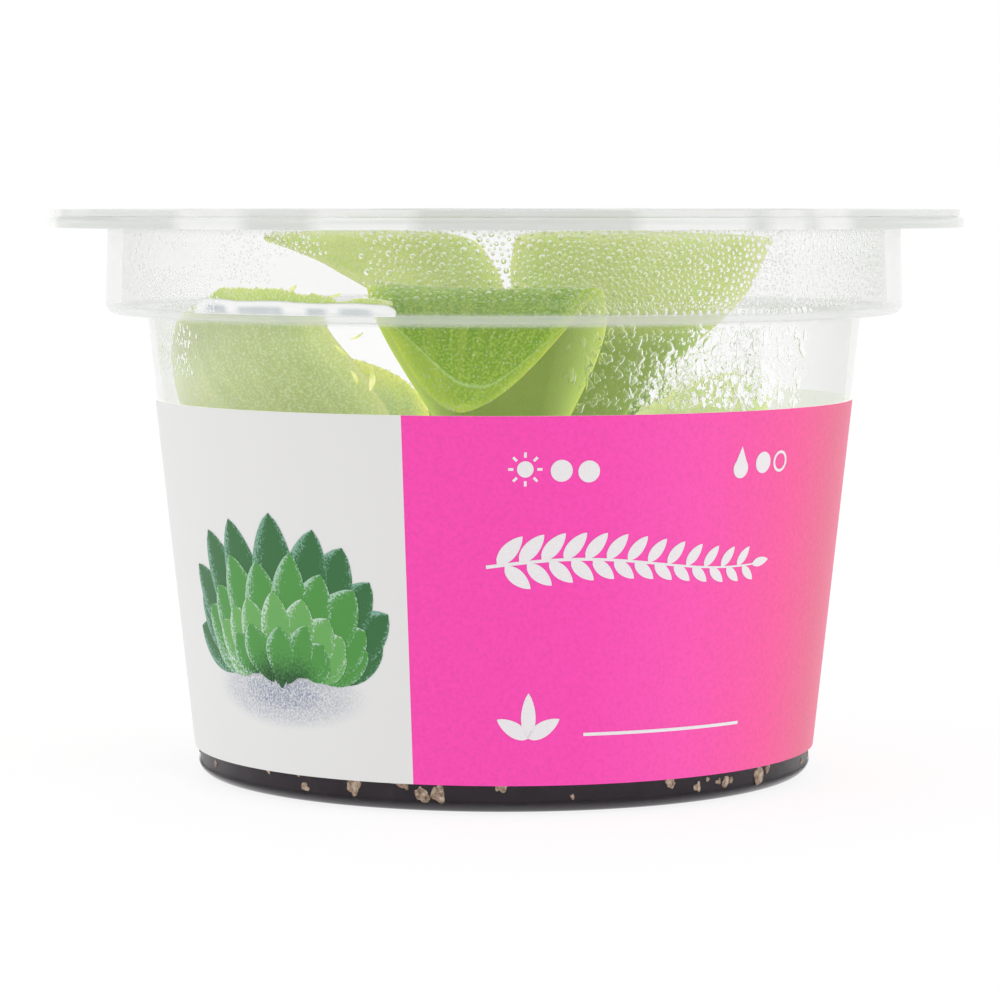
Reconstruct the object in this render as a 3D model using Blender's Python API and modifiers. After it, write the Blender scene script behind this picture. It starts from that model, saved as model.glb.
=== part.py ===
"""Butterwort in a sealed, clear plant cup: tapered cup with a collar and a flange, sealed film,
wrapped label, dark growing gel, crown with roots and twelve broad leaves.

Metres, +Z up. The origin is the centre of the foot, and the front of the label faces -Y.
"""

import math

import bmesh
import bpy
from mathutils import Vector

MM = 0.001
MERGE = 0.00002
ROUND_STEPS = 48

# Driving sizes of the cup, in millimetres
HEIGHT = 57.8
FLANGE_RADIUS = 47.1
COLLAR_RADIUS = 40.9
COLLAR_TAPER = 0.25
COLLAR_BOTTOM = 47.1
SHOULDER_RADIUS = 36.6
FOOT_RADIUS = 31.68
FOOT_CORNER = 1.3
WALL = 0.6
COLLAR_WALL = 1.0
FLOOR_WALL = 0.7
FLANGE_TOP = 57.0
FLANGE_WALL = 0.6
LIP_DROP = 0.5
KICK_UP = 0.9
KICK_RADIUS = 24.5

# Driving sizes of the film, label and gel
GAP = 0.3
FILM = 0.4
FILM_RADIUS = 46.6
FILM_DIP = 0.7
FILM_SCALLOPS = 13
LABEL = 0.3
LABEL_GAP = 0.35
LABEL_BOTTOM = 2.8
LABEL_TOP = 38.5
LABEL_START_DEG = -85.0
LABEL_END_DEG = 180.0
GEL_TOP = 14.0
SOCKET_RADIUS = 5.0
SOCKET_FLOOR = 5.0

# Driving sizes of the plant
LEAF_THICKNESS = 1.1
LEAF_MARGIN_SHARE = 0.6
LEAF_ROWS = 16
LEAF_COLUMNS = 8
PETIOLE_HALF = 1.3
LEAF_CEILING = 55.2
LEAF_CLEARANCE = 1.0
CROWN_TOP = 21.5
CROWN_FOOT_RADIUS = 4.2
ROOT_COUNT = 6
ROOT_RADIUS = 0.6
ROOT_TIP = 6.2
HEART_LEAVES = 4


def wall_radius(z):
    """Outer radius of the tapered wall at height z, in millimetres."""
    share = (z - FOOT_CORNER) / (COLLAR_BOTTOM - FOOT_CORNER)
    return FOOT_RADIUS + (SHOULDER_RADIUS - FOOT_RADIUS) * share


def smooth_step(low, high, x):
    t = min(1.0, max(0.0, (x - low) / (high - low)))
    return t * t * (3 - 2 * t)


def arc(centre, radius, start_deg, end_deg, steps):
    """Points of an arc in the radius-height plane."""
    points = []
    for i in range(steps + 1):
        a = math.radians(start_deg + (end_deg - start_deg) * i / steps)
        points.append((centre[0] + radius * math.cos(a), centre[1] + radius * math.sin(a)))
    return points


def clear_scene():
    for obj in list(bpy.data.objects):
        bpy.data.objects.remove(obj, do_unlink=True)


def new_collection(name):
    made = bpy.data.collections.new(name)
    bpy.context.scene.collection.children.link(made)
    return made


def new_material(name, colour, roughness, alpha=1.0):
    made = bpy.data.materials.new(name)
    made.use_nodes = True
    shader = made.node_tree.nodes["Principled BSDF"]
    shader.inputs["Base Color"].default_value = (*colour, 1.0)
    shader.inputs["Roughness"].default_value = roughness
    shader.inputs["Metallic"].default_value = 0.0
    shader.inputs["Alpha"].default_value = alpha
    return made


def new_object(name, mesh, collection, finish=None):
    made = bpy.data.objects.new(name, mesh)
    collection.objects.link(made)
    if finish is not None:
        mesh.materials.append(finish)
    return made


def shade_round(mesh, sharp_deg=35.0):
    mesh.shade_smooth()
    mesh.set_sharp_from_angle(angle=math.radians(sharp_deg))


def turned(name, profile, collection, finish=None, steps=ROUND_STEPS):
    """A closed body of revolution about Z. The profile, in millimetres, runs down its outer side."""
    mesh = bpy.data.meshes.new(name)
    points = [(r * MM, 0.0, z * MM) for r, z in profile]
    mesh.from_pydata(points, [(i, i + 1) for i in range(len(points) - 1)], [])
    made = new_object(name, mesh, collection, finish)
    screw = made.modifiers.new("turn", "SCREW")
    screw.axis = "Z"
    screw.angle = math.tau
    screw.steps = steps
    screw.render_steps = steps
    screw.use_merge_vertices = True
    screw.merge_threshold = MERGE
    screw.use_smooth_shade = True
    return made


def inner_profile():
    """The cup's inner side, from the middle of its floor up to the top of the flange."""
    floor = KICK_UP + FLOOR_WALL
    corner = FOOT_CORNER - WALL
    points = [(0.0, floor), (KICK_RADIUS - 1.0, floor), (KICK_RADIUS + 1.0, FLOOR_WALL)]
    points += arc((FOOT_RADIUS - FOOT_CORNER, FLOOR_WALL + corner), corner, -90, 0, 4)
    ledge = COLLAR_BOTTOM + WALL
    inside = SHOULDER_RADIUS - WALL
    points += [(wall_radius(20.0) - WALL, 20.0), (inside - 0.1, ledge - 0.7), (inside + 0.3, ledge)]
    bend = 0.7
    bottom = COLLAR_RADIUS - COLLAR_WALL
    points += arc((bottom - bend, ledge + bend), bend, -90, 0, 3)
    top = bottom - COLLAR_TAPER
    points += [(top, FLANGE_TOP - 0.8), (top + 0.15, FLANGE_TOP - 0.3), (top + 0.5, FLANGE_TOP)]
    return points


def outer_profile():
    """The cup's outer side, from the flange's edge down to the middle of its foot."""
    under = FLANGE_TOP - FLANGE_WALL
    points = [(FLANGE_RADIUS - 0.5, FLANGE_TOP), (FLANGE_RADIUS - 0.1, FLANGE_TOP - 0.25)]
    points += [(FLANGE_RADIUS, under - LIP_DROP), (FLANGE_RADIUS - 0.45, under - LIP_DROP)]
    points += [(FLANGE_RADIUS - 0.8, under)]
    top = COLLAR_RADIUS - COLLAR_TAPER
    points += [(top + 0.4, under), (top, under - 0.5)]
    bend = 1.1
    points += arc((COLLAR_RADIUS - bend, COLLAR_BOTTOM + bend), bend, 0, -90, 5)
    points += [(SHOULDER_RADIUS + 0.2, COLLAR_BOTTOM), (SHOULDER_RADIUS, COLLAR_BOTTOM - 0.3)]
    points += [(wall_radius(20.0), 20.0)]
    points += arc((FOOT_RADIUS - FOOT_CORNER, FOOT_CORNER), FOOT_CORNER, 0, -90, 6)
    points += [(KICK_RADIUS + 1.0, 0.0), (KICK_RADIUS - 1.0, KICK_UP), (0.0, KICK_UP)]
    return points


def make_cup(collection, finish):
    return turned("cup", inner_profile() + outer_profile(), collection, finish)


def film_height(radius, angle):
    """Height of the film's upper side. It dips inside the rim in soft, uneven scallops."""
    dip = smooth_step(40.0, 35.5, radius) if radius < 40.0 else 0.0
    ring = math.exp(-(((radius - 35.0) / 4.0) ** 2))
    wave = math.cos(FILM_SCALLOPS * angle + 0.8 * math.sin(3 * angle))
    return HEIGHT - 0.1 - dip * FILM_DIP - ring * dip * 0.3 * wave


def make_film(collection, finish):
    """The film: a polar grid bent to the dip, given its thickness downwards by Solidify."""
    rings = [0.0, 12.0, 24.0, 31.0, 35.0, 38.0, 40.0, FILM_RADIUS]
    steps = ROUND_STEPS
    form = bmesh.new()
    centre = form.verts.new((0.0, 0.0, film_height(0.0, 0.0) * MM))
    last = None
    for radius in rings[1:]:
        ring = []
        for i in range(steps):
            a = math.tau * i / steps
            ring.append(form.verts.new((radius * MM * math.cos(a), radius * MM * math.sin(a),
                                        film_height(radius, a) * MM)))
        for i in range(steps):
            j = (i + 1) % steps
            if last is None:
                form.faces.new((centre, ring[i], ring[j]))
            else:
                form.faces.new((last[i], ring[i], ring[j]))
                form.faces.new((last[i], ring[j], last[j]))
        last = ring
    mesh = bpy.data.meshes.new("lid_film")
    form.to_mesh(mesh)
    form.free()
    made = new_object("lid_film", mesh, collection, finish)
    add_thickness(made, FILM, -1.0)
    shade_round(mesh)
    return made


def add_thickness(obj, thickness, offset):
    solid = obj.modifiers.new("thickness", "SOLIDIFY")
    solid.thickness = thickness * MM
    solid.offset = offset
    solid.use_even_offset = False
    solid.use_rim = True
    return solid


def make_label(collection, finish):
    """The label: a strip of the wall's cone from its left edge round the front and right to the back."""
    columns = 44
    rows = 3
    mesh = bpy.data.meshes.new("label")
    points = []
    faces = []
    for i in range(columns + 1):
        a = math.radians(LABEL_START_DEG + (LABEL_END_DEG - LABEL_START_DEG) * i / columns)
        for j in range(rows + 1):
            z = LABEL_BOTTOM + (LABEL_TOP - LABEL_BOTTOM) * j / rows
            r = wall_radius(z) + LABEL_GAP + LABEL
            points.append((r * MM * math.sin(a), -r * MM * math.cos(a), z * MM))
    for i in range(columns):
        for j in range(rows):
            k = i * (rows + 1) + j
            faces.append((k, k + rows + 1, k + rows + 2, k + 1))
    mesh.from_pydata(points, [], faces)
    made = new_object("label", mesh, collection, finish)
    split = made.modifiers.new("split", "TRIANGULATE")
    split.quad_method = "FIXED"
    add_thickness(made, LABEL, -1.0)
    shade_round(mesh)
    return made


def make_gel(collection, finish):
    """The dark gel fills the cup's foot, with one plain hole where the crown and roots stand."""
    corner = FOOT_CORNER - WALL - GAP
    floor = FLOOR_WALL + GAP
    kick = KICK_UP + FLOOR_WALL + GAP
    rim = wall_radius(GEL_TOP) - WALL - GAP
    profile = [(0.0, SOCKET_FLOOR), (SOCKET_RADIUS - 1.0, SOCKET_FLOOR), (SOCKET_RADIUS, GEL_TOP - 0.4)]
    profile += [(SOCKET_RADIUS + 0.5, GEL_TOP), (rim - 1.2, GEL_TOP), (rim, GEL_TOP + 0.6)]
    profile += arc((FOOT_RADIUS - FOOT_CORNER, floor + corner), corner, 0, -90, 4)
    profile += [(KICK_RADIUS + 1.3, floor), (KICK_RADIUS - 0.6, kick), (0.0, kick)]
    return turned("growing_gel", profile, collection, finish)


def spine_point(spine, u):
    """A smooth curve through the spine's points, by Catmull-Rom, u from 0 to 1."""
    spans = len(spine) - 1
    i = min(int(u * spans), spans - 1)
    t = u * spans - i
    p1, p2 = Vector(spine[i]), Vector(spine[i + 1])
    p0 = Vector(spine[i - 1]) if i > 0 else p1 * 2 - p2
    p3 = Vector(spine[i + 2]) if i + 2 <= spans else p2 * 2 - p1
    return 0.5 * (p1 * 2 + (p2 - p0) * t + (p0 * 2 - p1 * 5 + p2 * 4 - p3) * t * t
                  + (p1 * 3 - p0 - p2 * 3 + p3) * t * t * t)


def leaf_half_width(leaf, u):
    """Half the blade's width at u: a narrow base that broadens, then a rounded tip."""
    petiole = leaf.get("petiole", PETIOLE_HALF)
    width = petiole + (leaf["half"] - petiole) * smooth_step(0.04, leaf.get("broad_from", 0.62), u)
    tip_from = leaf.get("tip_from", 0.66)
    if u > tip_from:
        t = (u - tip_from) / (1.0 - tip_from)
        width *= max(0.0, 1.0 - t ** leaf.get("tip_power", 2.3)) ** leaf.get("tip_round", 0.5)
    return max(width, 0.5)


def leaf_point(leaf, u, v):
    """A point of the leaf's middle surface, u from base to tip and v from -1 to 1 across."""
    spine = [at(*p) for p in leaf["spine"]]
    step = 0.01
    here = spine_point(spine, u)
    tangent = (spine_point(spine, min(1.0, u + step)) - spine_point(spine, max(0.0, u - step))).normalized()
    face = Vector(leaf["face_base"]).lerp(Vector(leaf["face_tip"]), smooth_step(0.1, 0.9, u))
    across = tangent.cross(face)
    across.z *= 1.0 - leaf.get("level", 0.0)
    across.normalize()
    normal = across.cross(tangent).normalized()
    half = leaf_half_width(leaf, u)
    curl = leaf.get("curl", 0.5) * (0.55 + 0.45 * math.cos(math.pi * u))
    curl = max(curl, leaf.get("tip_curl", 0.25))
    bend = curl * v
    wave = leaf.get("wave", 0.25) * math.sin(5.0 * u * math.pi + leaf.get("phase", 0.0)) * v * v
    free = here + across * (half * math.sin(bend) / curl) + normal * (half * (1 - math.cos(bend)) / curl + wave)
    return kept_inside(free)


def soft_limit(x, limit, soft):
    """x, eased so that it never passes the limit."""
    start = limit - soft
    if x <= start:
        return x
    return start + soft * (1.0 - math.exp(-(x - start) / soft))


def kept_inside(point):
    """The point, pressed back from the cup's wall, its ledge and the film."""
    z = soft_limit(point.z, LEAF_CEILING, 1.5)
    room = wall_radius(z) - WALL - LEAF_CLEARANCE
    room += smooth_step(COLLAR_BOTTOM + 2.2, COLLAR_BOTTOM + 4.2, z) * 3.0
    radius = math.hypot(point.x, point.y)
    if radius < 1.0:
        return Vector((point.x, point.y, z))
    share = soft_limit(radius, room, 1.5) / radius
    return Vector((point.x * share, point.y * share, z))


def leaf_mesh(name, leaf, rows=LEAF_ROWS, columns=LEAF_COLUMNS):
    """A grid bent to the leaf's middle surface. Its rows bunch towards the rounded tip."""
    bpy.ops.mesh.primitive_grid_add(x_subdivisions=rows, y_subdivisions=columns, size=2.0)
    made = bpy.context.object
    made.name = name
    thick = made.vertex_groups.new(name="thick")
    for vertex in made.data.vertices:
        u = (vertex.co.x + 1.0) / 2.0
        v = vertex.co.y
        u = 1.0 - (1.0 - u) ** 1.45
        thick.add([vertex.index], 1.0 - v * v, "REPLACE")
        vertex.co = leaf_point(leaf, u, v) * MM
    return made


def make_leaf(name, leaf, collection, finish):
    made = leaf_mesh(name, leaf)
    for other in made.users_collection:
        other.objects.unlink(made)
    collection.objects.link(made)
    made.data.name = name
    made.data.materials.append(finish)
    split = made.modifiers.new("split", "TRIANGULATE")
    split.quad_method = "FIXED"
    solid = add_thickness(made, LEAF_THICKNESS, 0.0)
    solid.vertex_group = "thick"
    solid.thickness_vertex_group = LEAF_MARGIN_SHARE
    made.data.shade_smooth()
    return made


def at(azimuth_deg, radius, height):
    """A point by its azimuth from the front towards the right, its radius and its height."""
    a = math.radians(azimuth_deg)
    return (radius * math.sin(a), -radius * math.cos(a), height)


# Each leaf: the points of its midrib as azimuth, radius and height, its half width in millimetres, and
# the way its upper face looks at the base and at the tip. The lowest whorl is the oldest.
LEAVES = {
    "leaf_front_left": {
        "spine": [(-42, 3.5, 17.3), (-47, 13.0, 24.0), (-53, 25.0, 32.0), (-58, 33.0, 40.5), (-61, 34.8, 48.4)],
        "half": 16.8, "face_base": (0.5, 0.6, 1.0), "face_tip": (1.0, 0.7, 0.2), "curl": 0.6, "tip_curl": 0.5,
        "phase": 0.6, "tip_from": 0.8, "tip_power": 3.0, "broad_from": 0.66},
    "leaf_left": {
        "spine": [(-90, 4.15, 15.3), (-94, 12.5, 19.0), (-100, 22.5, 25.0), (-106, 29.5, 31.5), (-110, 31.5, 38.0)],
        "half": 8.2, "face_base": (0.6, 0.0, 1.0), "face_tip": (1.0, -0.3, 0.3), "curl": 0.6, "tip_curl": 0.35},
    "leaf_centre": {
        "spine": [(0, 3.0, 19.5), (0, 9.5, 29.0), (-1.5, 18.5, 39.4), (-3.2, 26.8, 47.2), (-3.8, 31.6, 49.7),
                  (-5.0, 34.4, 45.4), (-7.0, 35.0, 38.6)],
        "half": 11.4, "face_base": (0.0, 1.0, 0.9), "face_tip": (0.0, -1.0, 0.15),
        "broad_from": 0.5, "tip_from": 0.62, "tip_power": 1.5, "tip_round": 0.62, "curl": 0.3, "tip_curl": 0.12,
        "wave": 0.1, "level": 0.95},
    "leaf_right": {
        "spine": [(120, 3.0, 19.3), (122, 7.8, 28.0), (124, 11.5, 38.0), (126, 15.5, 47.0), (132, 20.0, 53.5),
                  (139, 25.5, 56.0)],
        "half": 14.0, "face_base": (-0.7, -0.4, 0.8), "face_tip": (-0.1, -0.6, 0.9),
        "broad_from": 0.7, "tip_from": 0.82, "curl": 0.45, "tip_curl": 0.15, "phase": 1.2},
    "leaf_upper_left": {
        "spine": [(-132, 3.1, 19.3), (-144, 7.9, 28.0), (-152, 10.4, 38.5), (-150, 12.0, 47.0),
                  (-137, 14.4, 52.2), (-119, 20.0, 54.6), (-108, 26.6, 55.2)],
        "half": 7.9, "face_base": (0.5, -0.5, 0.8), "face_tip": (0.1, -0.75, 0.65),
        "broad_from": 0.6, "tip_from": 0.6, "tip_power": 1.5, "tip_round": 0.8, "curl": 0.45, "tip_curl": 0.15,
        "phase": 0.4},
    "leaf_front_right": {
        "spine": [(40, 3.5, 17.3), (44, 12.0, 23.5), (46, 21.0, 30.0), (46, 28.0, 36.5), (45, 31.5, 41.8)],
        "half": 8.8, "face_base": (-0.4, 0.8, 1.0), "face_tip": (-0.8, 1.0, 0.2), "curl": 0.5, "tip_curl": 0.3,
        "phase": 2.2},
    "leaf_back_left": {
        "spine": [(-135, 4.15, 15.3), (-139, 14.0, 21.0), (-144, 23.5, 30.0), (-149, 29.5, 40.8)],
        "half": 8.2, "face_base": (0.5, -0.4, 1.0), "face_tip": (0.8, -0.8, 0.3), "curl": 0.5, "tip_curl": 0.3,
        "broad_from": 0.6, "tip_from": 0.78, "tip_power": 2.8},
    "leaf_back": {
        "spine": [(178, 4.15, 15.3), (178, 13.5, 18.0), (176, 22.5, 23.0), (175, 29.0, 31.0)],
        "half": 7.2, "face_base": (0.0, -0.6, 1.0), "face_tip": (0.1, -1.0, 0.3), "curl": 0.55, "tip_curl": 0.35,
        "phase": 1.0},
    "leaf_back_right": {
        "spine": [(158, 3.5, 17.3), (156, 13.0, 25.5), (155, 23.0, 35.0), (154, 29.5, 45.0)],
        "half": 8.6, "face_base": (-0.3, -0.6, 1.0), "face_tip": (-0.4, -1.0, 0.3), "curl": 0.5, "tip_curl": 0.3},
    "leaf_low_right": {
        "spine": [(80, 4.15, 15.3), (82, 13.5, 18.4), (84, 22.5, 24.0), (85, 29.5, 32.5)],
        "half": 8.4, "face_base": (-0.4, 0.0, 1.0), "face_tip": (-1.0, 0.0, 0.5), "curl": 0.55, "tip_curl": 0.35,
        "phase": 2.8},
    "leaf_low_back_right": {
        "spine": [(129, 4.15, 15.3), (129, 14.0, 18.0), (130, 22.5, 22.5), (130, 29.5, 29.5)],
        "half": 7.4, "face_base": (-0.4, -0.4, 1.0), "face_tip": (-0.9, -0.8, 0.5), "curl": 0.55, "tip_curl": 0.35},
    "leaf_low_front": {
        "spine": [(6, 4.15, 15.3), (8, 13.0, 17.8), (9, 21.5, 21.5), (9, 28.5, 28.5)],
        "half": 7.4, "face_base": (0.0, 0.4, 1.0), "face_tip": (0.0, 1.0, 0.5), "curl": 0.5, "tip_curl": 0.35},
}


def mesh_copy(obj):
    """The object's evaluated shape as a plain mesh object in the same place."""
    bpy.context.view_layer.update()
    graph = bpy.context.evaluated_depsgraph_get()
    mesh = bpy.data.meshes.new_from_object(obj.evaluated_get(graph))
    return mesh


def make_root(index, collection):
    """One root: a tapered tube that wanders down inside the gel's hole."""
    a = math.tau * index / ROOT_COUNT + 0.3
    form = bmesh.new()
    levels = 5
    sides = 6
    last = None
    for k in range(levels + 1):
        t = k / levels
        z = (GEL_TOP - 0.5) * (1 - t) + ROOT_TIP * t + 0.5 * math.sin(index * 2.1) * t
        reach = 2.1 + 0.9 * math.sin(2.0 * t + index)
        turn = a + 0.5 * t * math.sin(index * 1.7)
        centre = Vector((reach * math.cos(turn), reach * math.sin(turn), z))
        radius = ROOT_RADIUS * (1.2 - 0.6 * t)
        ring = []
        for i in range(sides):
            b = math.tau * i / sides
            ring.append(form.verts.new((centre + Vector((radius * math.cos(b), radius * math.sin(b), 0))) * MM))
        if last is None:
            form.faces.new(ring)
        else:
            for i in range(sides):
                j = (i + 1) % sides
                form.faces.new((last[j], last[i], ring[i], ring[j]))
        last = ring
    form.faces.new(list(reversed(last)))
    bmesh.ops.recalc_face_normals(form, faces=form.faces)
    mesh = bpy.data.meshes.new(f"root_{index + 1}")
    form.to_mesh(mesh)
    form.free()
    return new_object(mesh.name, mesh, collection)


def make_heart_leaf(index, collection):
    """One small young leaf, rooted in the crown."""
    a = math.degrees(math.tau * index * 0.382)
    reach = 3.4
    inner = (a, 0.5, 18.6)
    outer = (a, 1.4, 23.0)
    tip = (a, reach - 0.4 * index, 26.0 + 0.8 * index)
    back = at(a + 180.0, 1.0, 0.0)
    face = (back[0], back[1], 0.5)
    spec = {"spine": [inner, outer, tip], "half": 2.0, "petiole": 1.2, "face_base": face, "face_tip": face,
            "curl": 0.8, "tip_curl": 0.6, "wave": 0.0, "tip_from": 0.5}
    made = leaf_mesh(f"heart_{index + 1}", spec, rows=6, columns=4)
    for other in made.users_collection:
        other.objects.unlink(made)
    collection.objects.link(made)
    split = made.modifiers.new("split", "TRIANGULATE")
    split.quad_method = "FIXED"
    add_thickness(made, 0.8, 0.0)
    return made


def make_crown(collection, helpers, finish):
    """The crown: a stub that the leaves sit round, its roots below and its youngest leaves on top."""
    foot = 13.0
    profile = [(0.0, CROWN_TOP), (1.4, CROWN_TOP - 0.4), (2.2, 19.6), (2.45, 18.4), (3.1, 17.0), (3.7, 15.4),
               (CROWN_FOOT_RADIUS - 0.3, GEL_TOP - 0.6), (3.2, foot - 0.8), (0.0, foot - 1.6)]
    crown = turned("crown", profile, collection, finish, steps=24)
    for i in range(ROOT_COUNT):
        make_root(i, helpers)
    for i in range(HEART_LEAVES):
        make_heart_leaf(i, helpers)
    join = crown.modifiers.new("join", "BOOLEAN")
    join.operation = "UNION"
    join.operand_type = "COLLECTION"
    join.collection = helpers
    join.solver = "EXACT"
    mesh = mesh_copy(crown)
    crown.modifiers.clear()
    crown.data = mesh
    mesh.name = "crown"
    for obj in list(helpers.objects):
        bpy.data.objects.remove(obj, do_unlink=True)
    shade_round(mesh)
    return crown


def main():
    clear_scene()
    parts = new_collection("butterwort_in_cup")
    helpers = new_collection("crown_pieces")
    clear_plastic = new_material("clear_plastic", (0.93, 0.94, 0.93), 0.08, 0.3)
    clear_film = new_material("clear_film", (0.95, 0.96, 0.96), 0.12, 0.25)
    printed_paper = new_material("printed_label", (0.93, 0.10, 0.52), 0.4)
    dark_gel = new_material("dark_gel", (0.035, 0.032, 0.034), 0.25)
    leaf_green = new_material("leaf_green", (0.36, 0.58, 0.10), 0.4)
    crown_green = new_material("crown_green", (0.55, 0.62, 0.22), 0.5)
    make_cup(parts, clear_plastic)
    make_film(parts, clear_film)
    make_label(parts, printed_paper)
    make_gel(parts, dark_gel)
    make_crown(parts, helpers, crown_green)
    for name, leaf in LEAVES.items():
        make_leaf(name, leaf, parts, leaf_green)


main()
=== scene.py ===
import math
import random

import bpy
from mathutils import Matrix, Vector, noise


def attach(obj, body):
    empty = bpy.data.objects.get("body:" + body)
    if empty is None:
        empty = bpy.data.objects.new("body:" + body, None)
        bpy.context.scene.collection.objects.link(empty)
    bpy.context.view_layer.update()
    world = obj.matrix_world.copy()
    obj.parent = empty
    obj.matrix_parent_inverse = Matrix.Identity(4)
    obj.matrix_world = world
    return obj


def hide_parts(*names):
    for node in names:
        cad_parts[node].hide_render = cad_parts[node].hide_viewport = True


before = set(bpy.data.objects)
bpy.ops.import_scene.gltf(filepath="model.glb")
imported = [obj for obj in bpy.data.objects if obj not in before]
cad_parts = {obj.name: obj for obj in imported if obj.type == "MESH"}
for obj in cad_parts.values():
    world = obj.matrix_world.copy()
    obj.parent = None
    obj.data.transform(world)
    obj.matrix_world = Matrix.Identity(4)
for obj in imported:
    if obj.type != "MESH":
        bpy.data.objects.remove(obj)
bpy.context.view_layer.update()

MM = 0.001
UP = Vector((0.0, 0.0, 1.0))
WHITE = (1.0, 1.0, 1.0)

# Sizes of the cup in millimetres, as in the solids
FLANGE_RADIUS = 47.1
FLANGE_TOP = 57.0
COLLAR_RADIUS = 40.9
COLLAR_SKIN = 1.6
COLLAR_TAPER = 0.25
COLLAR_BOTTOM = 47.1
SHOULDER_RADIUS = 36.6
FOOT_RADIUS = 31.68
FOOT_CORNER = 1.3
KICK_UP = 0.9
KICK_RADIUS = 24.5
FILM_TOP = 57.7
FILM_RADIUS = 46.6
GEL_TOP = 14.0
LABEL_BOTTOM = 2.75
LABEL_TOP = 38.4
LABEL_START_DEG = -84.5
LABEL_SPLIT_DEG = -15.8
LABEL_END_DEG = 180.0
WALL = 0.6


def wall_radius(z):
    """Outer radius of the tapered wall at height z, in millimetres."""
    share = (z - FOOT_CORNER) / (COLLAR_BOTTOM - FOOT_CORNER)
    return FOOT_RADIUS + (SHOULDER_RADIUS - FOOT_RADIUS) * share


def wall_inside(z):
    return wall_radius(z) - WALL


def collar_inside(z):
    return COLLAR_RADIUS - COLLAR_SKIN - COLLAR_TAPER * (z - COLLAR_BOTTOM) / (FLANGE_TOP - COLLAR_BOTTOM)


def smooth_step(low, high, x):
    t = min(1.0, max(0.0, (x - low) / (high - low)))
    return t * t * (3 - 2 * t)


def around(azimuth_deg, radius, height):
    """A point by azimuth from the front towards the right, radius and height, in millimetres."""
    a = math.radians(azimuth_deg)
    return Vector((radius * math.sin(a), -radius * math.cos(a), height))


def arc(centre, radius, start_deg, end_deg, steps):
    points = []
    for i in range(steps + 1):
        a = math.radians(start_deg + (end_deg - start_deg) * i / steps)
        points.append((centre[0] + radius * math.cos(a), centre[1] + radius * math.sin(a)))
    return points


# Mesh helpers
def make_object(name, verts, faces, finishes, sharp_deg=None, slots=None, smooth=True, uv=None):
    """A mesh object from points in millimetres.

    slots is each face's place in finishes, uv a layer's name and every point's place in it."""
    mesh = bpy.data.meshes.new(name)
    mesh.from_pydata([(x * MM, y * MM, z * MM) for x, y, z in verts], [], faces)
    for finish in finishes:
        mesh.materials.append(finish.material)
    if slots is not None:
        mesh.polygons.foreach_set("material_index", slots)
    if smooth:
        mesh.shade_smooth()
    if sharp_deg is not None:
        mesh.set_sharp_from_angle(angle=math.radians(sharp_deg))
    if uv is not None:
        layer = mesh.uv_layers.new(name=uv[0])
        for loop in mesh.loops:
            layer.data[loop.index].uv = uv[1][loop.vertex_index]
    mesh.update()
    made = bpy.data.objects.new(name, mesh)
    bpy.context.scene.collection.objects.link(made)
    return made


def place(obj, slot_name, *nodes):
    """Puts a finished piece on the frame, in place of the named nodes."""
    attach(obj, "root")
    if nodes:
        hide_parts(*nodes)


def turned(name, profile, finish, steps, sharp_deg, shape=None):
    """A body of revolution. The profile runs down its outer side; shape may move each point."""
    verts = []
    faces = []
    rings = []
    for r, z in profile:
        ring = []
        for i in range(steps if r > 0.0 else 1):
            a = math.tau * i / steps
            ring.append(len(verts))
            verts.append(shape(r, a, z) if shape else (r * math.cos(a), r * math.sin(a), z))
        rings.append(ring)
    for upper, lower in zip(rings, rings[1:]):
        for i in range(steps):
            j = (i + 1) % steps
            if len(upper) == 1:
                faces.append((upper[0], lower[i], lower[j]))
            elif len(lower) == 1:
                faces.append((upper[j], upper[i], lower[0]))
            else:
                faces.append((upper[i], lower[i], lower[j], upper[j]))
    return make_object(name, verts, faces, [finish], sharp_deg)


def slab_faces(start, steps, rows):
    """Faces of a closed slab: a grid of steps by rows for its front, then the same grid for its back."""
    row = rows + 1
    depth = (steps + 1) * row
    faces = []
    for i in range(steps):
        a = start + i * row
        for j in range(a, a + rows):
            faces.append((j, j + row, j + row + 1, j + 1))
            faces.append((j + depth, j + depth + 1, j + depth + row + 1, j + depth + row))
        b = a + rows
        faces.append((a + depth, a + depth + row, a + row, a))
        faces.append((b, b + row, b + row + depth, b + depth))
    for j in range(start, start + rows):
        b = steps * row + j
        faces.append((j, j + 1, j + 1 + depth, j + depth))
        faces.append((b + depth, b + depth + 1, b + 1, b))
    return faces


# Material helpers
HEIGHT_SPAN = 60.0
RADIUS_SPAN = 50.0


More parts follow.
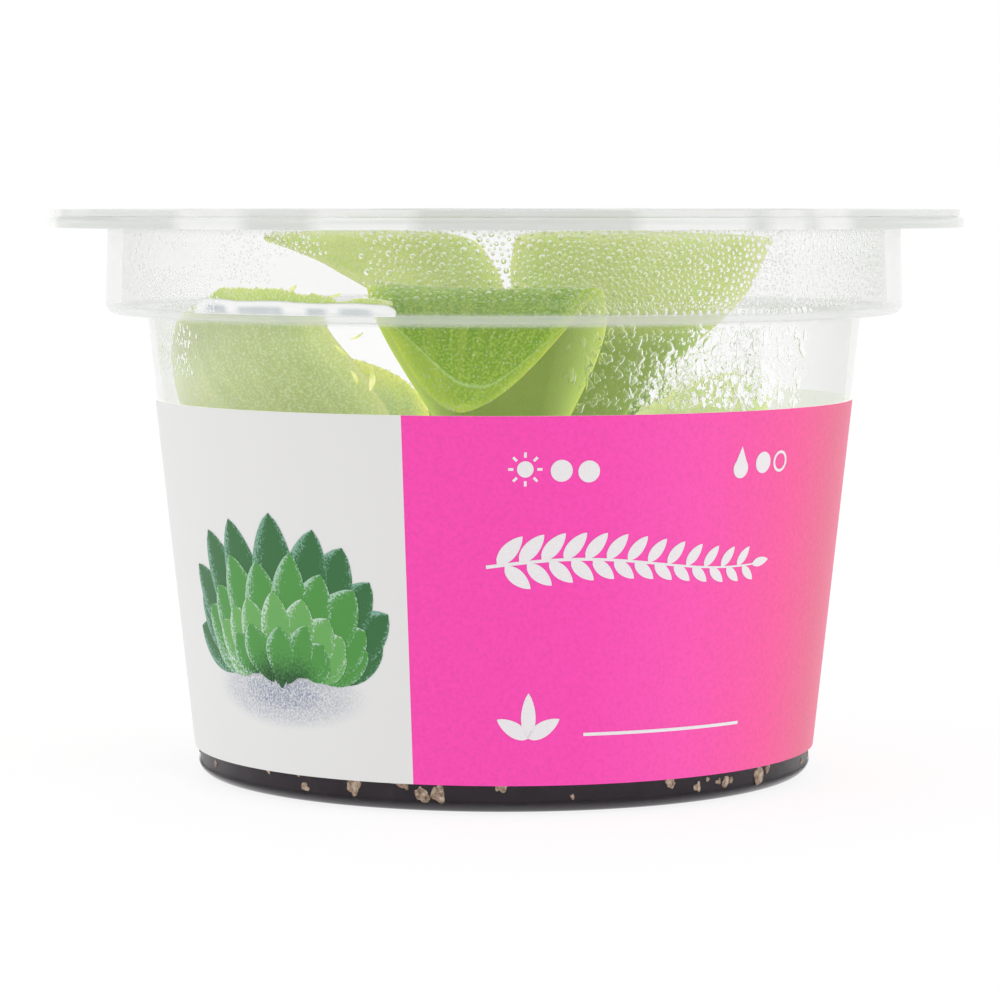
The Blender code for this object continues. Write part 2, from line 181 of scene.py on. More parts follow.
class Nodes:
    """A node tree, with a short call for each kind of node."""

    def __init__(self, tree):
        self.tree = tree

    def feed(self, socket, value):
        """Sets a socket to a number or a colour, or links it to another node's output."""
        if isinstance(value, bpy.types.NodeSocket):
            self.tree.links.new(value, socket)
        elif socket.type == "RGBA":
            socket.default_value = (*value, 1.0)
        else:
            socket.default_value = value

    def node(self, kind, inputs, **values):
        made = self.tree.nodes.new("ShaderNode" + kind)
        for key, value in values.items():
            setattr(made, key, value)
        for key, value in inputs.items():
            self.feed(made.inputs[key], value)
        return made

    def math(self, operation, *values, clamp=False):
        inputs = dict(enumerate(values))
        return self.node("Math", inputs, operation=operation, use_clamp=clamp).outputs["Value"]

    def vector(self, operation, a, b):
        return self.node("VectorMath", {0: a, 1: b}, operation=operation).outputs["Vector"]

    def mix(self, factor, a, b, blend="MIX"):
        inputs = {0: factor, 6: a, 7: b}
        return self.node("Mix", inputs, data_type="RGBA", blend_type=blend).outputs[2]

    def ramp(self, source, stops, interpolation="LINEAR"):
        """A colour ramp fed by source. stops are (place, (r, g, b)) or (place, value)."""
        made = self.node("ValToRGB", {"Fac": source})
        made.color_ramp.interpolation = interpolation
        elements = made.color_ramp.elements
        while len(elements) < len(stops):
            elements.new(0.5)
        for element, (where, colour) in zip(elements, stops):
            element.position = where
            if not isinstance(colour, tuple):
                colour = (colour, colour, colour)
            element.color = (*colour, 1.0)
        return made.outputs["Color"]

    def uv(self, name):
        return self.node("UVMap", {}, uv_map=name).outputs["UV"]

    def here(self):
        return self.node("TexCoord", {}).outputs["Object"]

    def split(self, vector):
        """The X, Y and Z of a vector."""
        return self.node("SeparateXYZ", {0: vector}).outputs

    def noise(self, scale, detail=2.0, roughness=0.5, vector=None):
        inputs = {"Vector": vector or self.here(), "Scale": scale, "Detail": detail, "Roughness": roughness}
        return self.node("TexNoise", inputs).outputs["Fac"]

    def off(self, value, middle):
        """How far value is from middle, either way."""
        return self.math("ABSOLUTE", self.math("SUBTRACT", value, middle))

    def inside(self, value, spans, soft, grow=0.0):
        """1 where value lies in one of the spans, 0 outside them, over a soft border."""
        total = None
        for low, high in spans:
            room = self.math("SUBTRACT", (high - low) / 2 + grow, self.off(value, (low + high) / 2))
            share = self.math("DIVIDE", room, soft, clamp=True)
            total = share if total is None else self.math("MAXIMUM", total, share)
        return total

    def by_height(self, stops):
        """A value or a colour from the height above the foot. stops are (millimetres, value)."""
        share = self.math("MULTIPLY", self.split(self.here())["Z"], 1.0 / (HEIGHT_SPAN * MM))
        return self.ramp(share, [(z / HEIGHT_SPAN, value) for z, value in stops])

    def by_radius(self, stops):
        """A value from the distance to the axis. stops are (millimetres, value)."""
        split = self.split(self.here())
        squares = [self.math("POWER", split[axis], 2.0) for axis in "XY"]
        away = self.math("SQRT", self.math("ADD", *squares))
        share = self.math("MULTIPLY", away, 1.0 / (RADIUS_SPAN * MM))
        return self.ramp(share, [(r / RADIUS_SPAN, value) for r, value in stops])

    def by_azimuth(self, spans, soft_deg):
        """1 inside the given spans of azimuth, 0 outside them."""
        split = self.split(self.here())
        angle = self.math("ARCTAN2", split["X"], self.math("MULTIPLY", split["Y"], -1.0))
        return self.inside(self.math("DEGREES", angle), spans, soft_deg, soft_deg / 2)


class Finish(Nodes):
    """A procedural material. Its sockets are named with _ for each space."""

    def __init__(self, name, **sockets):
        self.material = bpy.data.materials.new(name)
        self.material.use_nodes = True
        self.material.cycles.emission_sampling = "NONE"
        super().__init__(self.material.node_tree)
        self.set(**sockets)

    def set(self, **sockets):
        shader = self.tree.nodes["Principled BSDF"]
        for key, value in sockets.items():
            self.feed(shader.inputs[key.replace("_", " ")], value)

    def mottled(self, scale, detail, roughness, stops):
        """Colours the whole surface by a noise, and gives the noise for a bump."""
        pattern = self.noise(scale, detail, roughness)
        self.set(Base_Color=self.ramp(pattern, stops))
        return pattern

    def bump(self, height, strength, distance):
        inputs = {"Strength": strength, "Distance": distance, "Height": height}
        self.set(Normal=self.node("Bump", inputs).outputs["Normal"])


# Painted reflections: light patches on the sealed rim that also glow faintly, as spans of azimuth
FLANGE_PAINTED_REFLECTIONS = ((-162, -148), (-140, -121), (-108, -101), (-92, -70), (-41, -31), (-22, -10),
                (15, 29), (31.5, 37), (38.5, 44), (96, 118), (126, 133), (150, 168))


def clear_plastic(name, colour, low_alpha, edge_alpha, roughness, sealed, sealed_alpha, haze_and_painted_light=(), wet=()):
    """Thin clear plastic: nearly invisible face on, whiter where it is seen edge on or is thick.

    colour is one colour, or stops by height. haze_and_painted_light and wet are stops by height: the least
    alpha there, and how much of the edge whitening is left there. sealed is stops by radius: where a
    lid is welded on it is greyer, a painted shade, and fuller, with lobes of painted reflection as light
    patches that glow faintly."""
    made = Finish(name, Roughness=roughness, IOR=1.5, Specular_IOR_Level=0.8, Emission_Color=WHITE)
    facing = made.node("LayerWeight", {"Blend": 0.5}).outputs["Facing"]
    steep = made.math("POWER", facing, 3.0)
    alpha = made.math("MULTIPLY_ADD", steep, edge_alpha - low_alpha, low_alpha)
    if haze_and_painted_light:
        least = made.by_height(haze_and_painted_light)
        alpha = made.math("MULTIPLY_ADD", alpha, made.math("SUBTRACT", 1.0, least), least)
    if wet:
        alpha = made.math("MULTIPLY", alpha, made.by_height(wet))
    weld = made.by_radius(sealed)
    # Painted light on the sealed rim: a greyer painted shade, and lobes of painted reflection with a faint
    # glow.
    painted_reflection = made.math("MULTIPLY", made.by_azimuth(FLANGE_PAINTED_REFLECTIONS, 2.2), weld)
    under = made.by_height(colour) if isinstance(colour, list) else colour
    base_with_painted_shade = made.mix(weld, under, (0.79, 0.81, 0.78))
    fuller = made.math("MULTIPLY_ADD", weld, sealed_alpha, alpha)
    made.set(Base_Color=made.mix(painted_reflection, base_with_painted_shade, (0.95, 0.955, 0.94)),
             Emission_Strength=made.math("MULTIPLY", painted_reflection, 0.05),
             Alpha=made.math("MINIMUM", fuller, 1.0))
    return made


def stepped(r, z, *steps):
    """Points of a profile, as steps from one place."""
    return [(r + dr, z + dz) for dr, dz in steps]


# The cup: inner side up from the middle of the floor, then the outer side down again
def cup_inner_profile():
    skin = 0.16
    corner = FOOT_CORNER - skin
    points = [(0.0, KICK_UP + skin)]
    points += stepped(KICK_RADIUS, skin, (-1.2, KICK_UP), (-0.6, KICK_UP - 0.1), (0.6, 0.1), (1.2, 0.0))
    points += arc((FOOT_RADIUS - FOOT_CORNER, skin + corner), corner, -90, 0, 8)
    points += [(wall_radius(13.0) - skin, 13.0), (wall_radius(17.0) - 0.5, 17.0)]
    ledge = COLLAR_BOTTOM + WALL
    points += stepped(SHOULDER_RADIUS - WALL, ledge, (-0.12, -0.9), (-0.05, -0.35), (0.15, -0.08), (0.5, 0.0))
    bend = 0.9
    bottom = COLLAR_RADIUS - COLLAR_SKIN
    points += arc((bottom - bend, ledge + bend), bend, -90, 0, 6)
    top = bottom - COLLAR_TAPER
    return points + stepped(top, FLANGE_TOP, (0.0, -1.2), (0.12, -0.6), (0.4, -0.15), (0.9, 0.0))


def cup_outer_profile():
    under = FLANGE_TOP - 0.6
    bend = 1.1
    points = stepped(FLANGE_RADIUS, FLANGE_TOP, (-0.55, 0.0), (-0.2, -0.08), (-0.03, -0.3))
    points += stepped(FLANGE_RADIUS, under, (0.0, -0.3), (-0.1, -0.5), (-0.35, -0.5), (-0.5, -0.3),
                      (-0.8, 0.0))
    points += stepped(COLLAR_RADIUS - COLLAR_TAPER, under, (0.8, 0.0), (0.3, -0.15), (0.0, -0.6))
    points += arc((COLLAR_RADIUS - bend, COLLAR_BOTTOM + bend), bend, 0, -90, 9)
    points += stepped(SHOULDER_RADIUS, COLLAR_BOTTOM, (0.5, 0.0), (0.12, -0.1), (0.0, -0.45))
    points += [(wall_radius(30.0), 30.0), (wall_radius(12.0), 12.0)]
    points += arc((FOOT_RADIUS - FOOT_CORNER, FOOT_CORNER), FOOT_CORNER, 0, -90, 9)
    points += stepped(KICK_RADIUS, 0.0, (1.2, 0.0), (0.5, 0.12), (-0.5, KICK_UP - 0.12), (-1.2, KICK_UP))
    return points + [(0.0, KICK_UP)]


def make_cup():
    """The shell: hazy where the foot, the step and the rim are thick, dark where the gel shows.

    Part of this is painted light: the lowest 1.2 mm of the foot are painted dark as the contact shadow
    under it, a pale grey-green band at the step is a painted highlight, and the rim's grey is painted shade.
    """
    clear = (0.84, 0.845, 0.84)
    # Painted shade, with the dark gel behind it: the lowest 1.2 mm of the foot, as the contact shadow under
    # it.
    dark = (0.020, 0.014, 0.020)
    tint_and_painted_light = [(0.0, dark), (1.2, dark), (2.2, clear), (46.6, clear), (47.4, (0.80, 0.83, 0.81)),
            (48.1, clear), (55.3, clear), (56.0, (0.74, 0.755, 0.725))]
    haze_and_painted_light = [(0.0, 0.97), (0.55, 0.95), (1.15, 0.0), (46.6, 0.0), (47.0, 0.34), (47.85, 0.30),
            (48.1, 0.04), (55.2, 0.03), (56.0, 0.24)]
    wet = [(0.0, 1.0), (0.8, 1.0), (1.3, 0.03), (13.6, 0.06), (15.0, 1.0)]
    sealed = [(45.6, 0.0), (46.0, 1.0)]
    finish = clear_plastic("clear_cup_plastic", tint_and_painted_light, 0.03, 0.55, 0.06, sealed, 0.4, haze_and_painted_light, wet)
    cup = turned("cup_shell", cup_inner_profile() + cup_outer_profile(), finish, 192, 60)
    place(cup, "clear_plastic", "cup")


def film_point(radius, angle, offset):
    """The film, sealed on the flange, dips inside the rim in soft scallops."""
    x = radius * math.cos(angle)
    y = radius * math.sin(angle)
    dip = smooth_step(40.5, 35.5, radius)
    lobes = math.cos(13 * angle + 0.8 * math.sin(3 * angle) + 0.6 * math.sin(5 * angle + 1.0))
    ring = math.exp(-(((radius - 37.0) / 2.6) ** 2))
    swell = noise.noise(Vector((x * 0.05, y * 0.05, 3.1)))
    return (x, y, FILM_TOP - dip * 0.75 - ring * 0.24 * lobes - dip * 0.15 * swell + offset)


def make_film():
    rings = [0.0, 5.0, 10.0, 15.0, 20.0, 24.0, 28.0, 30.0, 31.5, 33.0, 34.0, 35.0, 36.0, 37.0, 38.0, 39.0,
             40.0, 41.0, 43.0, 45.0, FILM_RADIUS - 0.15]
    thickness = 0.12
    weld = 0.62
    weld_from = 41.5
    bevel = 0.03
    profile = [(r, 0.0) for r in rings] + [(FILM_RADIUS, -bevel), (FILM_RADIUS, bevel - weld)]
    profile += [(r, -weld if r > weld_from else -thickness) for r in reversed(rings)]
    sealed = [(46.2, 0.0), (46.5, 1.0)]
    finish = clear_plastic("clear_lid_film", (0.80, 0.81, 0.79), 0.06, 0.45, 0.05, sealed, 0.5)
    place(turned("lid_film_sheet", profile, finish, 192, 60, film_point), "clear_film", "lid_film")


# The label, a strip of the wall's cone
LABEL_LIFT = 0.10
LABEL_SKIN = 0.12
PRINT_UNDERSIDE = 0.012
PRINT_MM_PER_DEG = math.radians(1.0) * 35.2


def label_point(azimuth_deg, z, lift=0.0):
    return around(azimuth_deg, wall_radius(z) + LABEL_LIFT + LABEL_SKIN + lift, z)


def label_paper():
    """White and pink paper, the pink warmer towards the back, with a stippled shadow on the white."""
    made = Finish("printed_label_paper", Roughness=0.42, Specular_IOR_Level=0.35)
    wrap = made.uv("wrap")
    along = made.split(wrap)["X"]
    pinks = [(0.0, (0.98, 0.062, 0.455)), (0.16, (1.0, 0.066, 0.475)), (0.26, (1.0, 0.09, 0.47)),
             (0.38, (0.97, 0.098, 0.35)), (0.47, (0.83, 0.12, 0.25)), (1.0, (0.85, 0.13, 0.25))]
    grain = made.noise(2600.0, 2.0, 0.6)
    pink = made.mix(1.0, made.ramp(along, pinks), made.ramp(grain, [(0.3, 0.93), (0.7, 1.06)]), "MULTIPLY")
    shadow_at = (-0.14, 0.272, 0.0)
    shadow_reach = (0.105, 0.098, 1.0)
    offset = made.vector("DIVIDE", made.vector("SUBTRACT", wrap, shadow_at), shadow_reach)
    away = made.node("VectorMath", {0: offset}, operation="LENGTH").outputs["Value"]
    soft = made.ramp(away, [(0.25, 0.75), (0.6, 0.42), (1.0, 0.0)], "EASE")
    stipple = made.ramp(made.noise(5200.0, 1.0, 0.5), [(0.38, 0.35), (0.62, 1.3)])
    white = made.mix(made.math("MULTIPLY", soft, stipple), (0.80, 0.795, 0.79), (0.26, 0.30, 0.40))
    made.set(Base_Color=made.mix(made.math("GREATER_THAN", along, 0.0), white, pink))
    made.bump(grain, 0.15, 0.00003)
    return made


def make_label():
    columns = 250
    rows = 36
    corner = 2.2
    span = LABEL_END_DEG - LABEL_START_DEG
    length = span * math.radians(1.0) * 34.5
    verts = []
    wraps = []
    for lift in (0.0, -LABEL_SKIN):
        for i in range(columns + 1):
            t = i / columns
            azimuth = LABEL_START_DEG + span * t
            near_end = min(length * t, length * (1.0 - t))
            cut = 0.0
            if near_end < corner:
                cut = corner - math.sqrt(max(0.0, corner ** 2 - (corner - near_end) ** 2))
            for j in range(rows + 1):
                z = LABEL_BOTTOM + cut + (LABEL_TOP - LABEL_BOTTOM - 2.0 * cut) * j / rows
                verts.append(label_point(azimuth, z, lift))
                wraps.append(((azimuth - LABEL_SPLIT_DEG) / 180.0, z / 40.0))
    # The back of the label has a painted glow, standing in for light through the thin paper.
    back = Finish("label_back_paper_painted_glow", Roughness=0.8, Emission_Color=(1.0, 1.0, 0.98), Emission_Strength=0.55)
    back.mottled(900.0, 3.0, 0.6, [(0.3, (0.80, 0.80, 0.79)), (0.7, (0.86, 0.86, 0.85))])
    slots = ([0, 1] * rows + [1, 1]) * columns + [1, 1] * rows
    faces = slab_faces(0, columns, rows)
    label = make_object("label_wrap", verts, faces, [label_paper(), back], 50, slots, uv=("wrap", wraps))
    place(label, "printed_label", "label")


class Patches:
    """Thin patches on a curved wall, each place given by at. Points are (degrees, millimetres up)."""

    def __init__(self, at=label_point):
        self.at = at
        self.verts = []
        self.faces = []
        self.coords = []

    def add(self, azimuth, z, level, uv=(0.5, 0.5)):
        self.verts.append(self.at(azimuth, z, level))
        self.coords.append(uv)

    def patch(self, loop, lift):
        """A filled shape, star shaped about its middle."""
        n = len(loop)
        middle = (sum(p[0] for p in loop) / n, sum(p[1] for p in loop) / n)
        top = len(self.verts)
        low = top + n + 1
        for level in (lift, PRINT_UNDERSIDE):
            for azimuth, z in [*loop, middle]:
                self.add(azimuth, z, level)
        for i in range(n):
            j = (i + 1) % n
            self.faces.append((top + n, top + i, top + j))
            self.faces.append((low + n, low + j, low + i))
            self.faces.append((top + i, low + i, low + j, top + j))

    def strip(self, points, widths, lift):
        """A line along points, with its width in millimetres at each of them."""
        n = len(points)
        start = len(self.verts)
        for level in (lift, PRINT_UNDERSIDE):
            for k, (azimuth, z) in enumerate(points):
                before = points[max(0, k - 1)]
                after = points[min(n - 1, k + 1)]
                ds = (after[0] - before[0]) * PRINT_MM_PER_DEG
                dz = after[1] - before[1]
                half = widths[k] / 2 / math.hypot(ds, dz)
                for sign in (-1, 1):
                    self.add(azimuth - sign * dz * half / PRINT_MM_PER_DEG, z + sign * ds * half, level)
        self.faces += slab_faces(start, n - 1, 1)

    def circle(self, azimuth, z, radius, steps, start=0.0, sweep=math.tau):
        """Points round a place, steps of them to the sweep and one more at its end."""
        points = []
        for i in range(steps + 1):
            a = start + sweep * i / steps
            points.append((azimuth + radius * math.cos(a) / PRINT_MM_PER_DEG, z + radius * math.sin(a)))
        return points

    def disc(self, azimuth, z, radius, lift):
        self.patch(self.circle(azimuth, z, radius, 28)[:-1], lift)

    def leaf(self, azimuth, z, angle_deg, length, width, lift, bend_deg=0.0, fullness=0.85, along=10,
             across=4):
        """An oval leaf that starts at the given place and grows along its angle."""
        path = []
        ds = dz = 0.0
        for k in range(along + 1):
            heading = math.radians(angle_deg + bend_deg * k / along)
            path.append((ds, dz, heading))
            ds += length / along * math.cos(heading)
            dz += length / along * math.sin(heading)
        start = len(self.verts)
        for level in (lift, PRINT_UNDERSIDE):
            for k, (ds, dz, heading) in enumerate(path):
                t = k / along
                half = max(0.03, width / 2 * math.sin(math.pi * t ** fullness) ** 0.7)
                for j in range(across + 1):
                    s = half * (2 * j / across - 1)
                    east = (ds - s * math.sin(heading)) / PRINT_MM_PER_DEG
                    self.add(azimuth + east, z + dz + s * math.cos(heading), level, (t, j / across))
        self.faces += slab_faces(start, along, across)

    def finish(self, name, finish, slot="printed_label"):
        layer = ("print", self.coords)
        place(make_object(name, self.verts, self.faces, [finish], smooth=False, uv=layer), slot)


def green_ink(name, deep, mid, pale):
    """Printed leaf: deep at its foot, pale stippled along its margin and tip, a fine screen of dots."""
    made = Finish(name, Roughness=0.42, Specular_IOR_Level=0.35)
    split = made.split(made.uv("print"))
    grain = made.math("SUBTRACT", made.noise(4600.0, 1.0, 0.5), 0.5)
    body = made.math("ADD", split["X"], made.math("MULTIPLY", grain, 0.8))
    green = made.ramp(body, [(0.08, deep), (0.55, mid), (1.0, mid)])
    reach = made.math("ADD", made.off(split["Y"], 0.42), made.math("MULTIPLY", split["X"], 0.34))
    edge = made.math("ADD", reach, made.math("MULTIPLY", grain, 0.75))
    made.set(Base_Color=made.mix(made.ramp(edge, [(0.58, 0.0), (0.86, 1.0)], "EASE"), green, pale))
    return made


def make_white_print():
    """White marks on the pink: a sun, dots, a drop, a ring, a sprig, three small leaves and a line."""
    marks = Patches()
    lift = 0.045
    dot = 1.05
    sun = (3.2, 33.35)
    marks.disc(*sun, 0.78, lift)
    for ends in zip(marks.circle(*sun, 1.12, 8)[:-1], marks.circle(*sun, 1.62, 8)):
        marks.strip(ends, [0.26, 0.26], lift)
    for azimuth, z in ((8.8, 33.2), (13.1, 33.1), (45.2, 33.3)):
        marks.disc(azimuth, z, dot, lift)
    marks.patch(marks.circle(40.2, 32.85, 0.95, 24, -math.pi * 1.25, math.pi * 1.5) + [(40.2, 35.0)], lift)
    marks.strip(marks.circle(49.4, 33.3, (dot + 0.78) / 2, 32), [dot - 0.78] * 33, lift)

    def stem(t):
        return (-2.9 + 47.5 * t, 24.0 + 0.7 * math.sin(5.2 * t))

    marks.strip([stem(i / 40) for i in range(41)], [0.34 - 0.18 * i / 40 for i in range(41)], lift)
    for i in range(13):
        t = (i + 0.5) / 13.5
        azimuth, z = stem(t)
        size = 3.7 - 1.5 * t
        marks.leaf(azimuth, z + 0.1, 48.0, size, size * 0.42, lift)
        marks.leaf(azimuth + 1.2, z - 0.1, -40.0, size * 0.9, size * 0.4, lift)
    marks.leaf(*stem(1.0), 8.0, 2.4, 0.9, lift)
    for turn, length in ((30.0, 3.7), (90.0, 4.4), (150.0, 3.7)):
        marks.leaf(4.0, 7.4, turn, length, 1.5, lift)
    marks.strip([(13.4 + 31.0 * i / 24, 7.7) for i in range(25)], [0.32] * 25, lift)
    ink = Finish("white_print", Roughness=0.42)
    ink.mottled(5600.0, 1.0, 0.5, [(0.3, (0.84, 0.80, 0.83)), (0.7, (0.89, 0.87, 0.88))])
    marks.finish("white_printed_marks", ink)


def make_leafy_print():
    """A generic printed plant: broad oval leaves in an upright fan of four tiers, above a soft shadow."""
    rng = random.Random(8)
    inks = {"dark": ((0.006, 0.035, 0.016), (0.035, 0.155, 0.045), (0.22, 0.42, 0.32)),
            "fresh": ((0.012, 0.075, 0.020), (0.075, 0.30, 0.055), (0.40, 0.60, 0.46)),
            "light": ((0.025, 0.13, 0.028), (0.14, 0.40, 0.10), (0.55, 0.70, 0.58))}
    marks = {tone: Patches() for tone in inks}
    tiers = ((11, 98.0, 16.4, 5.4, "dark", 0.0), (10, 98.0, 13.0, 5.0, "fresh", 1.0),
             (9, 98.0, 9.4, 4.4, "light", 1.6), (7, 96.0, 6.4, 3.6, "fresh", 2.0))
    lift = 0.03
    for count, reach, length, width, tone, drop in tiers:
        for k in sorted(range(count), key=lambda k: -abs(k - (count - 1) / 2)):
            lean = -reach + 2 * reach * k / (count - 1) + rng.uniform(-4.0, 4.0)
            size = length * rng.uniform(0.92, 1.06) * (1.0 - 0.30 * min(1.0, abs(lean) / 90.0) ** 2)
            start = -41.0 + 2.4 * math.sin(math.radians(lean)) / PRINT_MM_PER_DEG
            foot = 11.9 + 2.6 * (abs(lean) / 98.0) ** 1.4 - drop * 0.3
            marks[tone].leaf(start, foot, 90.0 - lean, size, width * rng.uniform(0.9, 1.1), lift,
                             bend_deg=lean * 0.38, fullness=1.35, along=24, across=8)
            lift += 0.004
    for tone, colours in inks.items():
        marks[tone].finish("printed_plant_" + tone, green_ink("green_print_" + tone, *colours))


# The gel
def make_gel():
    skin = 0.22
    rim = wall_radius(GEL_TOP) - skin
    corner = FOOT_CORNER - skin
    profile = [(0.0, 5.0), (4.0, 5.0), (5.0, GEL_TOP - 0.4), (5.3, GEL_TOP - 0.1), (5.8, GEL_TOP)]
    profile += [(r, GEL_TOP) for r in (9.0, 13.0, 17.0, 21.0, 25.0, 28.0)]
    profile += stepped(rim, GEL_TOP, (-1.8, 0.06), (-0.9, 0.22), (-0.3, 0.5), (0.0, 0.75))
    profile += [(wall_radius(z) - skin, z) for z in (12.0, 10.0, 8.0, 6.0, 4.0)]
    profile += arc((FOOT_RADIUS - FOOT_CORNER, skin + corner), corner, 0, -90, 8)
    profile += [(KICK_RADIUS + 1.4, skin), (KICK_RADIUS - 1.4, KICK_UP + skin), (0.0, KICK_UP + skin)]

    def settle(r, a, z):
        x = r * math.cos(a)
        y = r * math.sin(a)
        wobble = 0.0
        if abs(z - GEL_TOP) < 0.3 and r > 5.5:
            wobble = 0.35 * noise.noise(Vector((x * 0.12, y * 0.12, 1.7)))
        return (x, y, z + wobble)

    made = Finish("dark_growing_gel", Roughness=0.35, Specular_IOR_Level=0.2)
    cloud = made.mottled(260.0, 4.0, 0.65, [(0.3, (0.017, 0.012, 0.016)), (0.62, (0.027, 0.020, 0.026)),
                                            (0.8, (0.045, 0.036, 0.042))])
    made.bump(cloud, 0.15, 0.0001)
    place(turned("growing_gel_body", profile, made, 144, 50, settle), "dark_gel", "growing_gel")


def make_bark_bits():
    """Small pale crumbs of bark set in the gel, seen through the wall above the foot."""
    rng = random.Random(21)
    depth = 0.24
    height = 0.13
    places = [(-27.5, 2.15, 0.78), (-17.6, 2.6, 0.42), (-14.2, 1.5, 0.5), (-11.6, 1.95, 0.8),
              (12.0, 1.5, 0.2), (36.8, 1.6, 0.4), (39.0, 2.3, 0.26), (45.0, 1.9, 0.3), (53.0, 2.0, 0.75),
              (56.0, 2.5, 0.45)]
    for _ in range(150):
        places.append((rng.uniform(-180.0, 180.0), rng.uniform(1.5, 13.0), rng.uniform(0.15, 0.7)))
    verts = []
    faces = []
    for azimuth, z, size in places:
        stretch = rng.uniform(0.75, 1.4)
        centre = around(azimuth, wall_radius(z) - depth, z)
        add_drop(verts, faces, rng, centre, around(azimuth, 1.0, 0.0), size, height, 0.75, stretch, 16)
    made = Finish("pale_bark", Roughness=0.8)
    grain = made.mottled(2300.0, 3.0, 0.6, [(0.3, (0.12, 0.07, 0.045)), (0.5, (0.36, 0.26, 0.19)),
                                            (0.72, (0.62, 0.50, 0.40))])
    made.bump(grain, 0.6, 0.0001)
    place(make_object("bark_bits", verts, faces, [made], 50), "dark_gel")


LEAF_CEILING = 55.2
LEAF_CLEARANCE = 1.0
LEAF_NU = 72
LEAF_NV = 40
LEAF_TIP_LIMIT = 55.6
PETIOLE = 1.3
GLANDS_PER_LEAF = 520
FOLD_BEADS = 130

LEAF_SHAPE = {"broad_from": 0.62, "tip_from": 0.66, "tip_power": 2.3, "tip_round": 0.5, "level": 0.0,
              "wave": 0.25, "phase": 0.0}


def leaf_row(spine, half, face_base, face_tip, curl, tip_curl, **shape):
    """One leaf. The spine is its midrib, as azimuth, radius and height; the faces say where its top looks."""
    row = {"spine": [around(*p) for p in spine], "half": half, "face_base": Vector(face_base),
           "face_tip": Vector(face_tip), "curl": curl, "tip_curl": tip_curl}
    return {**LEAF_SHAPE, **row, **shape}


LEAVES = {
    "leaf_front_left": leaf_row(
        [(-42, 3.5, 17.3), (-47, 13.0, 24.0), (-53, 25.0, 32.0), (-58, 33.0, 40.5), (-61, 34.8, 48.4)],
        16.8, (0.5, 0.6, 1.0), (1.0, 0.7, 0.2), 0.6, 0.5, phase=0.6, tip_from=0.8, tip_power=3.0,
        broad_from=0.66),
    "leaf_left": leaf_row(
        [(-90, 4.15, 15.3), (-94, 12.5, 19.0), (-100, 22.5, 25.0), (-106, 29.5, 31.5), (-110, 31.5, 38.0)],
        8.2, (0.6, 0.0, 1.0), (1.0, -0.3, 0.3), 0.6, 0.35),
    "leaf_centre": leaf_row(
        [(0, 3.0, 19.5), (0, 9.5, 29.0), (-1.5, 18.5, 39.4), (-3.2, 26.8, 47.2), (-3.8, 31.6, 49.7),
        (-5.0, 34.4, 45.4), (-7.0, 35.0, 38.6)], 11.4, (0.0, 1.0, 0.9), (0.0, -1.0, 0.15), 0.3, 0.12,
        broad_from=0.5, tip_from=0.62, tip_power=1.5, tip_round=0.62, wave=0.1, level=0.95),
    "leaf_right": leaf_row(
        [(120, 3.0, 19.3), (122, 7.8, 28.0), (124, 11.5, 38.0), (126, 15.5, 47.0), (132, 20.0, 53.5),
        (139, 25.5, 56.0)], 14.0, (-0.7, -0.4, 0.8), (-0.1, -0.6, 0.9), 0.45, 0.15, broad_from=0.7,
        tip_from=0.82, phase=1.2),
    "leaf_upper_left": leaf_row(
        [(-132, 3.1, 19.3), (-144, 7.9, 28.0), (-152, 10.4, 38.5), (-150, 12.0, 47.0), (-137, 14.4, 52.2),
        (-119, 20.0, 54.6), (-108, 26.6, 55.2)], 7.9, (0.5, -0.5, 0.8), (0.1, -0.75, 0.65), 0.45, 0.15,
        broad_from=0.6, tip_from=0.6, tip_power=1.5, tip_round=0.8, phase=0.4),
    "leaf_front_right": leaf_row(
        [(40, 3.5, 17.3), (44, 12.0, 23.5), (46, 21.0, 30.0), (46, 28.0, 36.5), (45, 31.5, 41.8)], 8.8,
        (-0.4, 0.8, 1.0), (-0.8, 1.0, 0.2), 0.5, 0.3, phase=2.2),
    "leaf_back_left": leaf_row(
        [(-135, 4.15, 15.3), (-139, 14.0, 21.0), (-144, 23.5, 30.0), (-149, 29.5, 40.8)], 8.2,
        (0.5, -0.4, 1.0), (0.8, -0.8, 0.3), 0.5, 0.3, broad_from=0.6, tip_from=0.78, tip_power=2.8),
    "leaf_back": leaf_row(
        [(178, 4.15, 15.3), (178, 13.5, 18.0), (176, 22.5, 23.0), (175, 29.0, 31.0)], 7.2,
        (0.0, -0.6, 1.0), (0.1, -1.0, 0.3), 0.55, 0.35, phase=1.0),
    "leaf_back_right": leaf_row(
        [(158, 3.5, 17.3), (156, 13.0, 25.5), (155, 23.0, 35.0), (154, 29.5, 45.0)], 8.6,
        (-0.3, -0.6, 1.0), (-0.4, -1.0, 0.3), 0.5, 0.3),
    "leaf_low_right": leaf_row(
        [(80, 4.15, 15.3), (82, 13.5, 18.4), (84, 22.5, 24.0), (85, 29.5, 32.5)], 8.4, (-0.4, 0.0, 1.0),
        (-1.0, 0.0, 0.5), 0.55, 0.35, phase=2.8),
    "leaf_low_back_right": leaf_row(
        [(129, 4.15, 15.3), (129, 14.0, 18.0), (130, 22.5, 22.5), (130, 29.5, 29.5)], 7.4,
        (-0.4, -0.4, 1.0), (-0.9, -0.8, 0.5), 0.55, 0.35),
    "leaf_low_front": leaf_row(
        [(6, 4.15, 15.3), (8, 13.0, 17.8), (9, 21.5, 21.5), (9, 28.5, 28.5)], 7.4, (0.0, 0.4, 1.0),
        (0.0, 1.0, 0.5), 0.5, 0.35),
}


